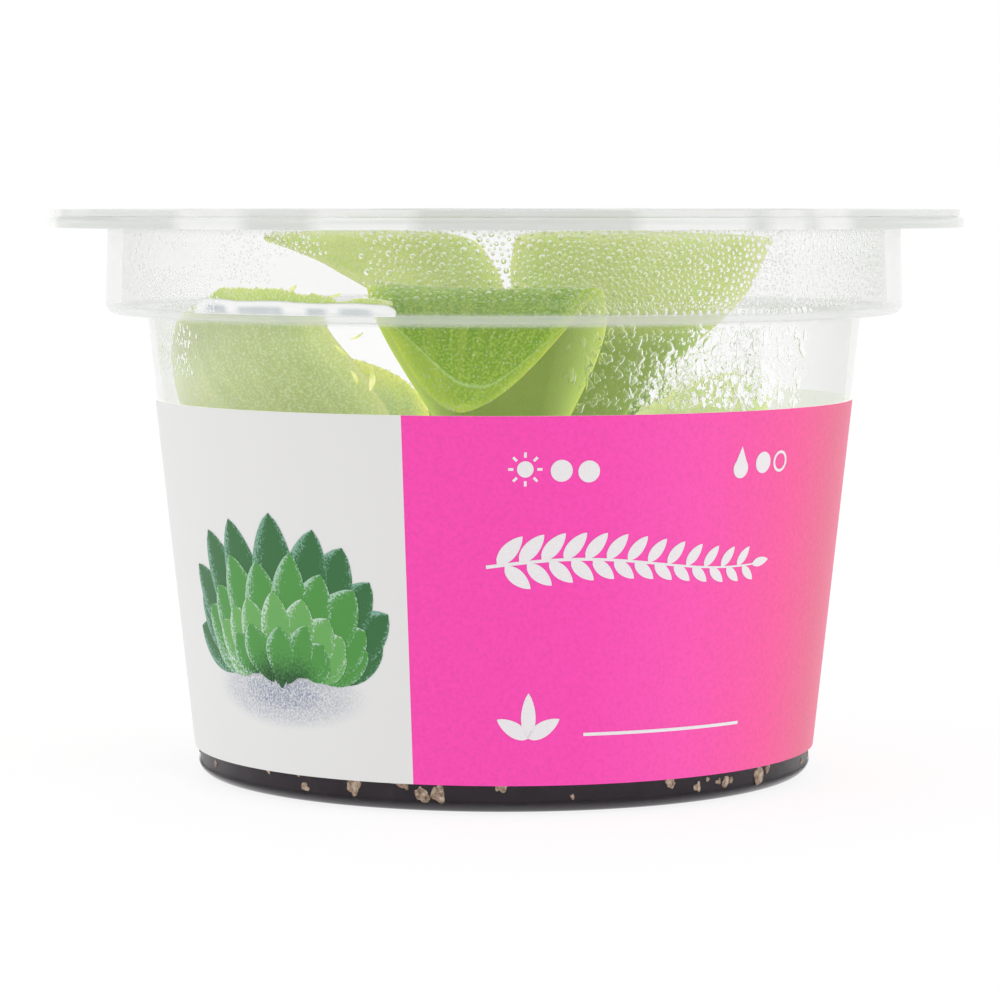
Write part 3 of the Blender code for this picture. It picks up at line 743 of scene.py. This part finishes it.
def spine_point(spine, u):
    """A smooth curve through the spine's points, by Catmull-Rom, u from 0 to 1."""
    spans = len(spine) - 1
    i = min(int(u * spans), spans - 1)
    t = u * spans - i
    p1, p2 = spine[i], spine[i + 1]
    p0 = spine[i - 1] if i > 0 else p1 * 2 - p2
    p3 = spine[i + 2] if i + 2 <= spans else p2 * 2 - p1
    return 0.5 * (p1 * 2 + (p2 - p0) * t + (p0 * 2 - p1 * 5 + p2 * 4 - p3) * t * t
                  + (p1 * 3 - p0 - p2 * 3 + p3) * t * t * t)


def leaf_half_width(leaf, u):
    width = PETIOLE + (leaf["half"] - PETIOLE) * smooth_step(0.04, leaf["broad_from"], u)
    if u > leaf["tip_from"]:
        t = (u - leaf["tip_from"]) / (1.0 - leaf["tip_from"])
        width *= max(0.0, 1.0 - t ** leaf["tip_power"]) ** leaf["tip_round"]
    return max(width, 0.25)


def soft_limit(x, limit, soft):
    start = limit - soft
    if x <= start:
        return x
    return start + soft * (1.0 - math.exp(-(x - start) / soft))


def kept_inside(point):
    """The point, pressed back from the cup's wall, its ledge and the film."""
    z = soft_limit(point.z, LEAF_CEILING, 1.5)
    room = wall_radius(z) - WALL - LEAF_CLEARANCE
    room += smooth_step(COLLAR_BOTTOM + 2.2, COLLAR_BOTTOM + 4.2, z) * 3.0
    radius = math.hypot(point.x, point.y)
    if radius < 1.0:
        return Vector((point.x, point.y, z))
    share = soft_limit(radius, room, 1.5) / radius
    return Vector((point.x * share, point.y * share, z))


class LeafForm:
    """The middle surface of one leaf."""

    def __init__(self, leaf):
        self.leaf = leaf
        self.rows = {}

    def row(self, u):
        """The midrib's point, the directions across and up, the half width and the curl at u."""
        if u not in self.rows:
            leaf = self.leaf
            spine = leaf["spine"]
            step = 0.01
            here = spine_point(spine, u)
            tangent = spine_point(spine, min(1.0, u + step)) - spine_point(spine, max(0.0, u - step))
            tangent.normalize()
            face = leaf["face_base"].lerp(leaf["face_tip"], smooth_step(0.1, 0.9, u))
            across = tangent.cross(face)
            across.z *= 1.0 - leaf["level"]
            across.normalize()
            normal = across.cross(tangent).normalized()
            curl = max(leaf["curl"] * (0.55 + 0.45 * math.cos(math.pi * u)), leaf["tip_curl"])
            self.rows[u] = (here, across, normal, leaf_half_width(leaf, u), curl)
        return self.rows[u]

    def point(self, u, v):
        here, across, normal, half, curl = self.row(u)
        bend = curl * v
        wave = self.leaf["wave"] * math.sin(5.0 * u * math.pi + self.leaf["phase"]) * v * v
        sideways = across * (half * math.sin(bend) / curl)
        return kept_inside(here + sideways + normal * (half * (1 - math.cos(bend)) / curl + wave))


def make_leaf(name, leaf, finish, sites):
    """One blade, a skin on both sides of the leaf's middle surface. Places for its glands go into sites."""
    form = LeafForm(leaf)
    nu, nv = LEAF_NU, LEAF_NV
    seed = sum(ord(c) for c in name)
    us = [1.0 - (1.0 - i / nu) ** 1.5 for i in range(nu + 1)]
    vs = [math.sin(math.pi / 2 * (2 * j / nv - 1)) for j in range(nv + 1)]
    grid = [[form.point(u, v) for v in vs] for u in us]
    verts = []
    coords = []
    normals = []
    tops = []
    lows = []
    for i, u in enumerate(us):
        end = math.sqrt(max(0.0, 1.0 - max(0.0, (u - 0.97) / 0.03) ** 2))
        line = []
        top = []
        low = []
        for j, v in enumerate(vs):
            along = grid[min(nu, i + 1)][j] - grid[max(0, i - 1)][j]
            across = grid[i][min(nv, j + 1)] - grid[i][max(0, j - 1)]
            n = across.cross(along)
            n = n.normalized() if n.length > 1e-9 else UP
            edge = math.sqrt(max(0.0, 1.0 - abs(v) ** 7))
            thick = (0.62 + 0.4 * (1 - v * v)) * edge * max(end, 0.05)
            p = grid[i][j]
            bump = noise.noise(p * 0.55 + Vector((seed, 0, 0))) * 0.10 + noise.noise(p * 1.6) * 0.035
            rib = -0.16 * math.exp(-((v * leaf_half_width(leaf, u)) / 0.9) ** 2) * (1 - u)
            fade = min(1.0, thick / 0.4)
            line.append(n)
            top.append(len(verts))
            verts.append(p + n * (thick / 2 + (bump + rib) * fade))
            coords.append((u, (v + 1) / 2))
            if 0 < j < nv:
                low.append(len(verts))
                verts.append(p - n * (thick / 2 - (bump * 0.5 + rib * 0.8) * fade))
                coords.append((u, (v + 1) / 2))
            else:
                low.append(top[-1])
        normals.append(line)
        tops.append(top)
        lows.append(low)
    faces = []
    for i in range(nu):
        for j in range(nv):
            faces.append((tops[i][j], tops[i][j + 1], tops[i + 1][j + 1], tops[i + 1][j]))
            faces.append((lows[i][j], lows[i + 1][j], lows[i + 1][j + 1], lows[i][j + 1]))
    for j in range(nv):
        faces.append((tops[0][j], lows[0][j], lows[0][j + 1], tops[0][j + 1]))
        faces.append((tops[nu][j], tops[nu][j + 1], lows[nu][j + 1], lows[nu][j]))
    faces = [tuple(dict.fromkeys(face)) for face in faces]
    faces = [face for face in faces if len(face) > 2]
    rng = random.Random(seed)
    for _ in range(GLANDS_PER_LEAF):
        i = rng.randrange(4, nu - 1)
        j = rng.randrange(1, nv - 1)
        near = verts[tops[i][j]]
        spot = near.lerp(verts[tops[i + 1][j]], rng.random()).lerp(verts[tops[i][j + 1]], rng.random() * 0.5)
        sites.append((spot, normals[i][j]))
    place(make_object(name + "_blade", verts, faces, [finish], uv=("blade", coords)), "leaf_green", name)


def flap_crease(made, split, colour):
    """On the folded leaf, a fine pale crease round its end, a yellow rim, and a paler upright part."""
    across = split["Y"]
    along = split["X"]
    off_middle = made.math("SUBTRACT", across, 0.33)
    left = made.math("GREATER_THAN", off_middle, 0.0)
    steep = made.math("SUBTRACT", 5.0, made.math("MULTIPLY", left, 4.37))
    bow = made.math("MULTIPLY", made.math("POWER", made.math("ABSOLUTE", off_middle), 3.0), steep)
    beyond = made.math("SUBTRACT", made.math("ADD", along, bow), 0.94)
    sideways = made.ramp(across, [(0.0, 1.0), (0.2, 0.6), (0.5, 0.15), (0.72, 1.0)])
    rim = made.ramp(beyond, [(0.0, 0.0), (0.008, 0.45), (0.3, 0.75)])
    yellowed = made.mix(made.math("MULTIPLY", rim, sideways), colour, (0.44, 0.55, 0.06))
    line = made.ramp(made.math("ABSOLUTE", beyond), [(0.0, 0.55), (0.002, 0.35), (0.005, 0.0)])
    creased = made.mix(line, yellowed, (0.62, 0.76, 0.34))
    side = made.ramp(made.off(across, 0.5), [(0.26, 0.0), (0.46, 1.0)])
    upright = made.mix(side, (0.30, 0.40, 0.06), (0.60, 0.67, 0.24))
    return made.mix(made.ramp(along, [(0.58, 0.8), (0.66, 0.0)]), creased, upright)


def leaf_finish(name, young, old, pale, seed, frost=0.25, glow=0.0, crease=False, shade=None, margin=0.0,
                uv_map="blade"):
    """Soft, glistening leaf: faint veins along it, pale margins, glands as fine frosty speckles.

    A painted glow, strongest low down, and painted shade below 43 mm where shade is given.
    """
    made = Finish(name, Roughness=0.42, Specular_IOR_Level=0.2, Subsurface_Weight=0.9,
                  Subsurface_Radius=(0.7, 1.0, 0.25), Subsurface_Scale=0.0016)
    blade = made.uv(uv_map)
    split = made.split(blade)
    patches = made.noise(75.0 + seed, 3.0)
    base = made.mix(made.ramp(patches, [(0.32, 0.0), (0.68, 1.0)]), young, old)
    veins = made.noise(1.0, vector=made.vector("MULTIPLY", blade, (3.0, 26.0, 1.0)))
    veined = made.mix(made.ramp(veins, [(0.5, 0.0), (0.72, 0.3)]), base, pale)
    rim = made.ramp(made.off(split["Y"], 0.5), [(0.38 - margin, 0.0), (0.485 - margin, 0.5), (0.5, 0.9)])
    tip = 0.97 if crease else 0.94 - margin
    end = made.ramp(split["X"], [(tip, 0.0), ((tip + 1.0) / 2, 0.5), (1.0, 0.85)])
    with_rim = made.mix(made.math("MAXIMUM", rim, end), veined, pale)
    specks = made.noise(4300.0, 0.0)
    shine = made.ramp(specks, [(0.50, 0.0), (0.66, frost * 1.9)])
    colour = made.mix(shine, with_rim, (0.66, 0.82, 0.12) if crease else (0.80, 0.88, 0.70))
    # Painted shade: the leaf darker below 43 mm, fading out by 47.5 mm.
    if shade is not None:
        lower = made.by_height([(36.0, shade), (43.0, shade), (47.5, WHITE)])
        colour = made.mix(1.0, colour, lower, "MULTIPLY")
    if crease:
        colour = flap_crease(made, split, colour)
    # Painted glow: the leaf glows in its own colour, most below 39 mm, fading higher up.
    painted_glow_by_height = made.by_height([(16.0, glow), (39.0, glow), (47.0, glow * 0.35), (52.0, glow * 0.2)])
    made.set(Base_Color=colour, Emission_Color=colour, Emission_Strength=painted_glow_by_height)
    made.bump(made.math("ADD", specks, made.math("MULTIPLY", patches, 2.0)), 0.35, 0.00008)
    return made


def make_leaves():
    light = (0.76, 0.80, 0.48)
    kinds = {}
    tissues = (
        ("fresh", (0.65, 0.73, 0.22), (0.55, 0.63, 0.15), light, 0,
         {"frost": 0.13, "glow": 0.05, "shade": (0.53, 0.64, 0.34)},
         ("leaf_right", "leaf_upper_left", "leaf_back", "leaf_low_right")),
        ("vivid", (0.24, 0.42, 0.002), (0.20, 0.37, 0.002), (0.60, 0.70, 0.08), 7,
         {"frost": 0.17, "glow": 0.13, "crease": True}, ("leaf_centre",)),
        ("pale", (0.545, 0.61, 0.30), (0.455, 0.53, 0.20), (0.72, 0.76, 0.36), 13,
         {"frost": 0.17, "glow": 0.10}, ("leaf_front_left", "leaf_left", "leaf_low_front")),
        ("wet", (0.59, 0.66, 0.30), (0.50, 0.58, 0.22), (0.86, 0.84, 0.22), 3,
         {"frost": 0.17, "glow": 0.16, "margin": 0.05}, ("leaf_back_left",)),
        ("misted", (0.66, 0.73, 0.34), (0.56, 0.65, 0.26), (0.78, 0.82, 0.45), 4,
         {"frost": 0.15, "glow": 0.16}, ("leaf_front_right",)),
        ("shaded", (0.30, 0.46, 0.10), (0.24, 0.38, 0.08), light, 5,
         {"glow": 0.04}, ("leaf_back_right", "leaf_low_back_right")))
    for name, young, old, pale, seed, others, leaves in tissues:
        finish = leaf_finish("leaf_tissue_" + name, young, old, pale, seed, **others)
        kinds.update({leaf: finish for leaf in leaves})
    sites = []
    for name, leaf in LEAVES.items():
        make_leaf(name, leaf, kinds[name], sites)
    make_glands(sites + fold_sites())


def fold_sites():
    """A close row of places for glands along the fold of the leaf that bends over."""
    form = LeafForm(LEAVES["leaf_centre"])
    sites = []
    for k in range(FOLD_BEADS):
        v = 0.97 * (2.0 * k / (FOLD_BEADS - 1) - 1.0)
        crest = max((form.point(0.55 + 0.005 * i, v) for i in range(50)), key=lambda p: p.z)
        sites.append((crest + Vector((0.0, -0.12, 0.26)), Vector((0.0, -0.5, 0.87))))
    return sites


def make_glands(sites):
    """Short stalks with a bead of clear slime each, over the leaves' upper faces."""
    rng = random.Random(31)
    verts = []
    faces = []

    def add_ring(centre, normal, radius, count):
        side = normal.orthogonal().normalized()
        other = normal.cross(side)
        for k in range(count):
            a = math.tau * k / count
            verts.append(centre + side * (radius * math.cos(a)) + other * (radius * math.sin(a)))

    for spot, normal in sites:
        tall = rng.uniform(0.14, 0.32)
        bead = rng.uniform(0.05, 0.085)
        top = spot + normal * tall
        if math.hypot(top.x, top.y) > wall_inside(top.z) - 0.1 or top.z > LEAF_TIP_LIMIT:
            continue
        stalk = len(verts)
        add_ring(spot - normal * 0.05, normal, 0.022, 3)
        add_ring(spot + normal * (tall - bead * 0.9), normal, 0.014, 3)
        for k in range(3):
            n = (k + 1) % 3
            faces.append((stalk + k, stalk + n, stalk + 3 + n, stalk + 3 + k))
        faces.append((stalk + 2, stalk + 1, stalk))
        faces.append((stalk + 3, stalk + 4, stalk + 5))
        base = len(verts)
        verts.append(top - normal * bead * 0.85)
        add_ring(top, normal, bead, 5)
        verts.append(top + normal * bead)
        for k in range(5):
            n = (k + 1) % 5
            faces.append((base, base + 1 + n, base + 1 + k))
            faces.append((base + 6, base + 1 + k, base + 1 + n))
    made = Finish("leaf_glands", Roughness=0.08, Specular_IOR_Level=0.7, Alpha=0.85)
    made.mottled(500.0, 1.0, 0.5, [(0.3, (0.70, 0.82, 0.42)), (0.7, (0.88, 0.93, 0.74))])
    place(make_object("leaf_gland_beads", verts, faces, [made]), "leaf_green")


def finish_crown():
    """The crown stays as it is in the solids, and gets its material."""
    made = Finish("crown_tissue", Roughness=0.45, Subsurface_Weight=0.6, Subsurface_Radius=(0.6, 0.9, 0.3),
                  Subsurface_Scale=0.001)
    colour = made.by_height([(6.67, (0.62, 0.5, 0.34)), (15.0, (0.6, 0.6, 0.3)), (25.0, (0.42, 0.62, 0.14))])
    mottle = made.noise(700.0, 3.0, 0.6)
    made.set(Base_Color=made.mix(1.0, colour, made.ramp(mottle, [(0.3, 0.85), (0.7, 1.1)]), "MULTIPLY"))
    made.bump(mottle, 0.3, 0.0001)
    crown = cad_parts["crown"]
    crown.data.materials.clear()
    crown.data.materials.append(made.material)


# Condensation
DROP_GAP = 0.012


def scattered(rng, count, azimuths, heights, radius_at, sizes, clear, keep=None):
    """Places for drops by dart throwing, as azimuth, height and size, none of them touching.

    keep gives the share of the darts that stay at an azimuth and height."""
    taken = {}
    placed = []
    tries = 0
    while len(placed) < count and tries < count * 30:
        tries += 1
        azimuth = rng.uniform(*azimuths)
        z = rng.uniform(*heights)
        size = sizes[0] + (sizes[1] - sizes[0]) * rng.random() ** 1.6
        if keep is not None and rng.random() > keep(azimuth, z):
            continue
        s = math.radians(azimuth) * radius_at(z)
        column = math.floor(s)
        row = math.floor(z)
        cells = [(column + dx, row + dz) for dx in (-1, 0, 1) for dz in (-1, 0, 1)]
        near = [other for cell in cells for other in taken.get(cell, ())]
        if any(math.hypot(s - there[0], z - there[1]) < (size + there[2]) * clear for there in near):
            continue
        taken.setdefault((column, row), []).append((s, z, size))
        placed.append((azimuth, z, size))
    return placed


def add_drop(verts, faces, rng, centre, towards, size, height, rough_edge, stretch, sides):
    """One drop: a dome with a steep rim, its flat side on the wall and its top in the given direction."""
    levels = ((1.0, 0.0), (0.96, 0.46), (0.80, 0.82), (0.48, 0.97))
    side = towards.cross(UP)
    start = len(verts)
    phase = rng.random() * 10.0
    for share, rise in levels:
        for i in range(sides):
            a = math.tau * i / sides
            lump = 1.0 + rough_edge * noise.noise(Vector((math.cos(a) * 1.3, math.sin(a) * 1.3, phase)))
            r = size * share * lump
            offset = side * (r * math.cos(a)) + UP * (r * math.sin(a) * stretch)
            verts.append(centre + offset + towards * (height * rise))
    top = len(verts)
    base = top + 1
    last = top - sides
    verts.append(centre + towards * height)
    verts.append(centre)
    for i in range(sides):
        j = (i + 1) % sides
        for ring in range(start, last, sides):
            faces.append((ring + i, ring + j, ring + sides + j, ring + sides + i))
        faces.append((last + i, last + j, top))
        faces.append((start + j, start + i, base))


def drop_cloud(name, places, radius_at, finish, rng, flat, rough_edge=0.0, stretch=(1.0, 0.0), sides=10):
    """Drops on the inner side of a wall. flat is a drop's height for its size.

    stretch is how long a drop is for its width, and how much that grows with its size."""
    verts = []
    faces = []
    for azimuth, z, size in places:
        centre = around(azimuth, radius_at(z) - DROP_GAP, z)
        inward = around(azimuth, -1.0, 0.0)
        long = stretch[0] + stretch[1] * size
        add_drop(verts, faces, rng, centre, inward, size, size * flat, rough_edge, long, sides)
    place(make_object(name, verts, faces, [finish], 55), "clear_plastic")


def make_condensation():
    """Drops at the front of the collar and the wall, along the step, and fewer round the back."""
    water = Finish("condensed_water", Base_Color=WHITE, Transmission_Weight=1.0, Roughness=0.0, IOR=1.33)

    def front_share(az, z):
        rise = 0.3 * smooth_step(-21.0, -14.0, az) + 0.7 * smooth_step(-16.0, 3.0, az)
        return rise * (1.0 - 0.6 * smooth_step(60.0, 80.0, az))

    def wall_share(az, z):
        rise = smooth_step(7.0, 16.0, az) * (0.4 + 0.6 * smooth_step(22.0, 30.0, az))
        return rise * (1.0 - 0.75 * smooth_step(40.0, 56.0, az))

    def back_share(az, z):
        return 0.0 if 198.0 < az < 236.0 else 0.35 + 0.65 * max(0.0, math.sin(math.radians(az * 3.0)))

    rng = random.Random(11)
    front = scattered(rng, 1260, (-20.0, 82.0), (49.2, 55.9), collar_inside, (0.14, 0.34), 1.3, front_share)
    drop_cloud("drops_on_collar", front, collar_inside, water, rng, 0.42)
    rng = random.Random(12)
    fog = scattered(rng, 620, (-66.0, -44.5), (47.95, 52.4), collar_inside, (0.06, 0.15), 1.2,
                    lambda az, z: smooth_step(52.4, 50.0, z) * smooth_step(-44.0, -50.0, az))
    fog += scattered(rng, 190, (-52.0, -33.0), (50.8, 55.8), collar_inside, (0.07, 0.17), 1.3,
                     lambda az, z: smooth_step(-52.0, -39.0, az) * smooth_step(-33.0, -37.0, az))
    fog += scattered(rng, 60, (-34.0, -22.0), (53.4, 55.7), collar_inside, (0.08, 0.2), 1.3,
                     lambda az, z: smooth_step(-23.0, -31.0, az))
    drop_cloud("fine_drops_on_collar", fog, collar_inside, water, rng, 0.45, sides=8)
    rng = random.Random(13)
    streaks = scattered(rng, 400, (9.0, 56.0), (38.9, 46.4), wall_inside, (0.12, 0.62), 0.85, wall_share)
    streaks += scattered(rng, 110, (20.0, 47.0), (38.9, 43.6), lambda z: wall_inside(z) + 0.01,
                         (0.25, 0.75), 0.8, lambda az, z: smooth_step(45.0, 40.0, z))
    drop_cloud("drops_on_wall", streaks, wall_inside, water, rng, 0.3, 1.3, (0.8, 0.9), 14)
    rng = random.Random(14)
    left = scattered(rng, 240, (-86.0, -56.0), (41.0, 46.4), wall_inside, (0.07, 0.18), 1.0,
                     lambda az, z: smooth_step(40.5, 44.0, z) * smooth_step(-56.0, -64.0, az))
    drop_cloud("drops_on_left_wall", left, wall_inside, water, rng, 0.35, 0.7, (1.6, 0.0))
    rng = random.Random(15)
    row = []
    azimuth = 10.0
    while azimuth < 50.0:
        size = rng.uniform(0.22, 0.35)
        row.append((azimuth, COLLAR_BOTTOM + 0.68 + size, size))
        azimuth += 0.75 + 1.6 * size + rng.uniform(0.0, 0.35)
    row += [(az, COLLAR_BOTTOM + 0.9, 0.2) for az in (-9.0, -4.0, 1.0, 5.5)]
    row += scattered(rng, 260, (6.0, 64.0), (48.45, 49.1), collar_inside, (0.08, 0.2), 1.1)
    drop_cloud("drops_along_step", row, collar_inside, water, rng, 0.7, 0.4, sides=12)
    rng = random.Random(16)
    back = scattered(rng, 360, (86.0, 280.0), (48.8, 55.7), collar_inside, (0.12, 0.32), 1.4, back_share)
    drop_cloud("drops_round_the_back", back, collar_inside, water, rng, 0.42, sides=8)


def ribbon(name, slot, finish, azimuths, steps, radius, thick, span_at):
    """An upright closed ribbon inside the collar. span_at gives its lower and upper edge at each azimuth."""
    rows = 6
    verts = []
    coords = []
    for side in (1, -1):
        for i in range(steps + 1):
            t = i / steps
            azimuth = azimuths[0] + (azimuths[1] - azimuths[0]) * t
            low, high = span_at(azimuth, t)
            for j in range(rows + 1):
                share = j / rows
                belly = thick * (0.25 + 0.75 * math.sin(math.pi * share) ** 0.5)
                verts.append(around(azimuth, radius + side * belly / 2, low + (high - low) * share))
                coords.append((t, share))
    faces = slab_faces(0, steps, rows)
    place(make_object(name, verts, faces, [finish], 60, uv=("ribbon", coords)), slot)


def ledge_water_finish():
    """Water caught on the ledge, in painted light: white for its bright reflections with a faint painted
    glow, greyer cells of painted shade where the light is bent away, and a painted dark brow along its top.
    """
    made = Finish("ledge_water", Roughness=0.12, IOR=1.33, Alpha=0.93, Emission_Color=WHITE,
                  Emission_Strength=0.14)
    split = made.split(made.uv("ribbon"))
    drift = made.noise(350.0)
    along = made.math("ADD", split["X"], made.math("MULTIPLY", drift, 0.03))
    cells = made.inside(along, ((0.075, 0.235), (0.265, 0.53), (0.61, 0.735), (0.765, 0.93)), 0.035)
    rise = made.ramp(split["Y"], [(0.0, 0.5), (0.15, 0.9), (0.45, 1.0), (0.70, 0.0)])
    painted_shade_grey = made.ramp(drift, [(0.35, (0.48, 0.53, 0.58)), (0.65, (0.62, 0.67, 0.70))])
    body = made.mix(made.math("MULTIPLY", cells, rise), WHITE, painted_shade_grey)
    # Painted shade: a dark brow along the top of the water.
    painted_shade_brow = made.ramp(split["Y"], [(0.9, 0.0), (0.97, 0.75)])
    made.set(Base_Color=made.mix(painted_shade_brow, body, (0.42, 0.46, 0.44)))
    return made


def make_ledge_water():
    """Water held on the ledge at the left, with the torn edge of a leaf that stands in it."""
    def water_span(azimuth, t):
        rounding = math.sqrt(max(0.0, 1.0 - (max(0.0, 0.06 - t, t - 0.95) / 0.06) ** 2))
        swell = 0.06 * math.sin(t * 17.0) + 0.05 * noise.noise(Vector((azimuth * 0.4, 1.0, 0.0)))
        return 47.74, 47.78 + rounding * (1.45 - 0.35 * t + swell)

    def torn_span(azimuth, t):
        body = 1.25 * smooth_step(0.0, 0.16, t) * smooth_step(0.75, 0.42, t) + 0.12 * smooth_step(0.4, 0.5, t)
        clump = 0.42 * smooth_step(0.60, 0.64, t) * smooth_step(0.76, 0.73, t)
        clump += 0.3 * smooth_step(0.80, 0.84, t) * smooth_step(1.0, 0.93, t)
        ragged = noise.noise(Vector((azimuth * 1.5, 0.0, 2.0))) * 0.16
        ragged += noise.noise(Vector((azimuth * 5.0, 3.0, 2.0))) * 0.12
        return 48.8, 49.0 + max(0.03, (body + clump) * (1.0 + ragged) + ragged * 0.7)

    ribbon("ledge_water", "clear_plastic", ledge_water_finish(), (-50.0, -15.2), 180, 38.75, 0.5, water_span)
    torn = leaf_finish("leaf_tissue_torn", (0.52, 0.66, 0.17), (0.42, 0.56, 0.12), (0.74, 0.78, 0.36), 9,
                       glow=0.15, uv_map="ribbon")
    ribbon("torn_leaf_edge", "leaf_green", torn, (-50.5, -16.0), 260, 38.05, 0.3, torn_span)


def make_torn_bits():
    """Slivers of leaf that cling to the inside of the wall."""
    slivers = ((-26.8, 44.9, 1.7, 0.36, -50.0), (-24.2, 45.5, 1.5, 0.2, 10.0), (-21.3, 40.6, 2.5, 0.6, 66.0),
               (-23.3, 41.2, 1.5, 0.42, 100.0), (-32.0, 50.1, 0.9, 0.35, 20.0), (-25.0, 49.6, 0.9, 0.3, 5.0))
    collar_side = 38.6

    def inside_point(azimuth, z, lift):
        wall = wall_inside(z) if z < COLLAR_BOTTOM else collar_side
        return around(azimuth, wall - 0.35 + lift, z)

    bits = Patches(inside_point)
    for azimuth, z, length, width, turn in slivers:
        bits.leaf(azimuth, z, turn, length, width, 0.18, bend_deg=35.0, fullness=0.9, along=12)
    # The slivers have a painted glow in yellow-green.
    made = Finish("torn_slivers", Roughness=0.3, Emission_Color=(0.80, 0.82, 0.25), Emission_Strength=0.22)
    made.mottled(900.0, 2.0, 0.5, [(0.35, (0.60, 0.68, 0.16)), (0.65, (0.88, 0.88, 0.40))])
    bits.finish("torn_slivers", made, "leaf_green")


# Stage
FLOOR_REACH = 6000.0
FLOOR_DROP = 0.2
SKY_DIM = 0.5


def make_stage():
    """A pale floor that runs into a bright backdrop, with a dimmer sky above."""
    corners = [(-FLOOR_REACH, -FLOOR_REACH, 0.0), (FLOOR_REACH, -FLOOR_REACH, 0.0),
               (FLOOR_REACH, FLOOR_REACH, 0.0), (-FLOOR_REACH, FLOOR_REACH, 0.0)]
    pale = Finish("pale_floor", Base_Color=(0.16, 0.16, 0.16), Roughness=1.0, Specular_IOR_Level=0.0,
                  Emission_Color=WHITE, Emission_Strength=0.86)
    floor = make_object("floor", corners, [(0, 1, 2, 3)], [pale], smooth=False)
    floor.location.z = -FLOOR_DROP * MM
    world = bpy.data.worlds.new("studio")
    bpy.context.scene.world = world
    world.use_nodes = True
    sky = Nodes(world.node_tree)
    up = sky.split(sky.node("TexCoord", {}).outputs["Generated"])["Z"]
    backdrop = world.node_tree.nodes["Background"].inputs
    stops = [(0.0, 1.0), (0.14, 1.0), (0.36, SKY_DIM), (0.8, SKY_DIM), (1.0, 0.9)]
    sky.feed(backdrop["Color"], sky.ramp(up, stops))
    sky.feed(backdrop["Strength"], 1.0)


def add_soft_sun(name, azimuth_deg, elevation_deg, angle_deg, strength):
    """Light from one side of the sky, as from a large softbox. Azimuth is from the front to the right."""
    light = bpy.data.lights.new(name, "SUN")
    light.angle = math.radians(angle_deg)
    light.energy = strength
    made = bpy.data.objects.new(name, light)
    e = math.radians(elevation_deg)
    towards = around(azimuth_deg, math.cos(e), math.sin(e))
    made.rotation_euler = towards.to_track_quat("Z", "Y").to_euler()
    bpy.context.scene.collection.objects.link(made)


def make_lights():
    add_soft_sun("left_softbox", -75.0, 38.0, 50.0, 0.55)
    add_soft_sun("right_softbox", 80.0, 35.0, 50.0, 0.65)
    add_soft_sun("back_softbox", 180.0, 50.0, 60.0, 0.6)


# The camera, at the photo's angle, in millimetres and in pixels of a picture 1000 pixels wide
CAMERA_SIDE = -0.41
CAMERA_DISTANCE = 388.8
CAMERA_HEIGHT = 58.47
CAMERA_TILT_DEG = 4.53
FOCAL_PX = 3765.0
PICTURE_PX = 1000.0
SENSOR_WIDTH = 36.0


def make_camera():
    data = bpy.data.cameras.new("photo_camera")
    data.sensor_width = SENSOR_WIDTH
    data.lens = FOCAL_PX / PICTURE_PX * SENSOR_WIDTH
    data.clip_start = 0.01
    data.clip_end = 20.0
    camera = bpy.data.objects.new("photo_camera", data)
    camera.location = (CAMERA_SIDE * MM, -CAMERA_DISTANCE * MM, CAMERA_HEIGHT * MM)
    camera.rotation_euler = (math.radians(90.0 - CAMERA_TILT_DEG), 0.0, 0.0)
    bpy.context.scene.collection.objects.link(camera)
    bpy.context.scene.camera = camera


bpy.context.scene.view_settings.view_transform = "Standard"
make_stage()
make_lights()
make_camera()
make_gel()
make_bark_bits()
make_leaves()
finish_crown()
make_cup()
make_film()
make_label()
make_white_print()
make_leafy_print()
make_condensation()
make_ledge_water()
make_torn_bits()
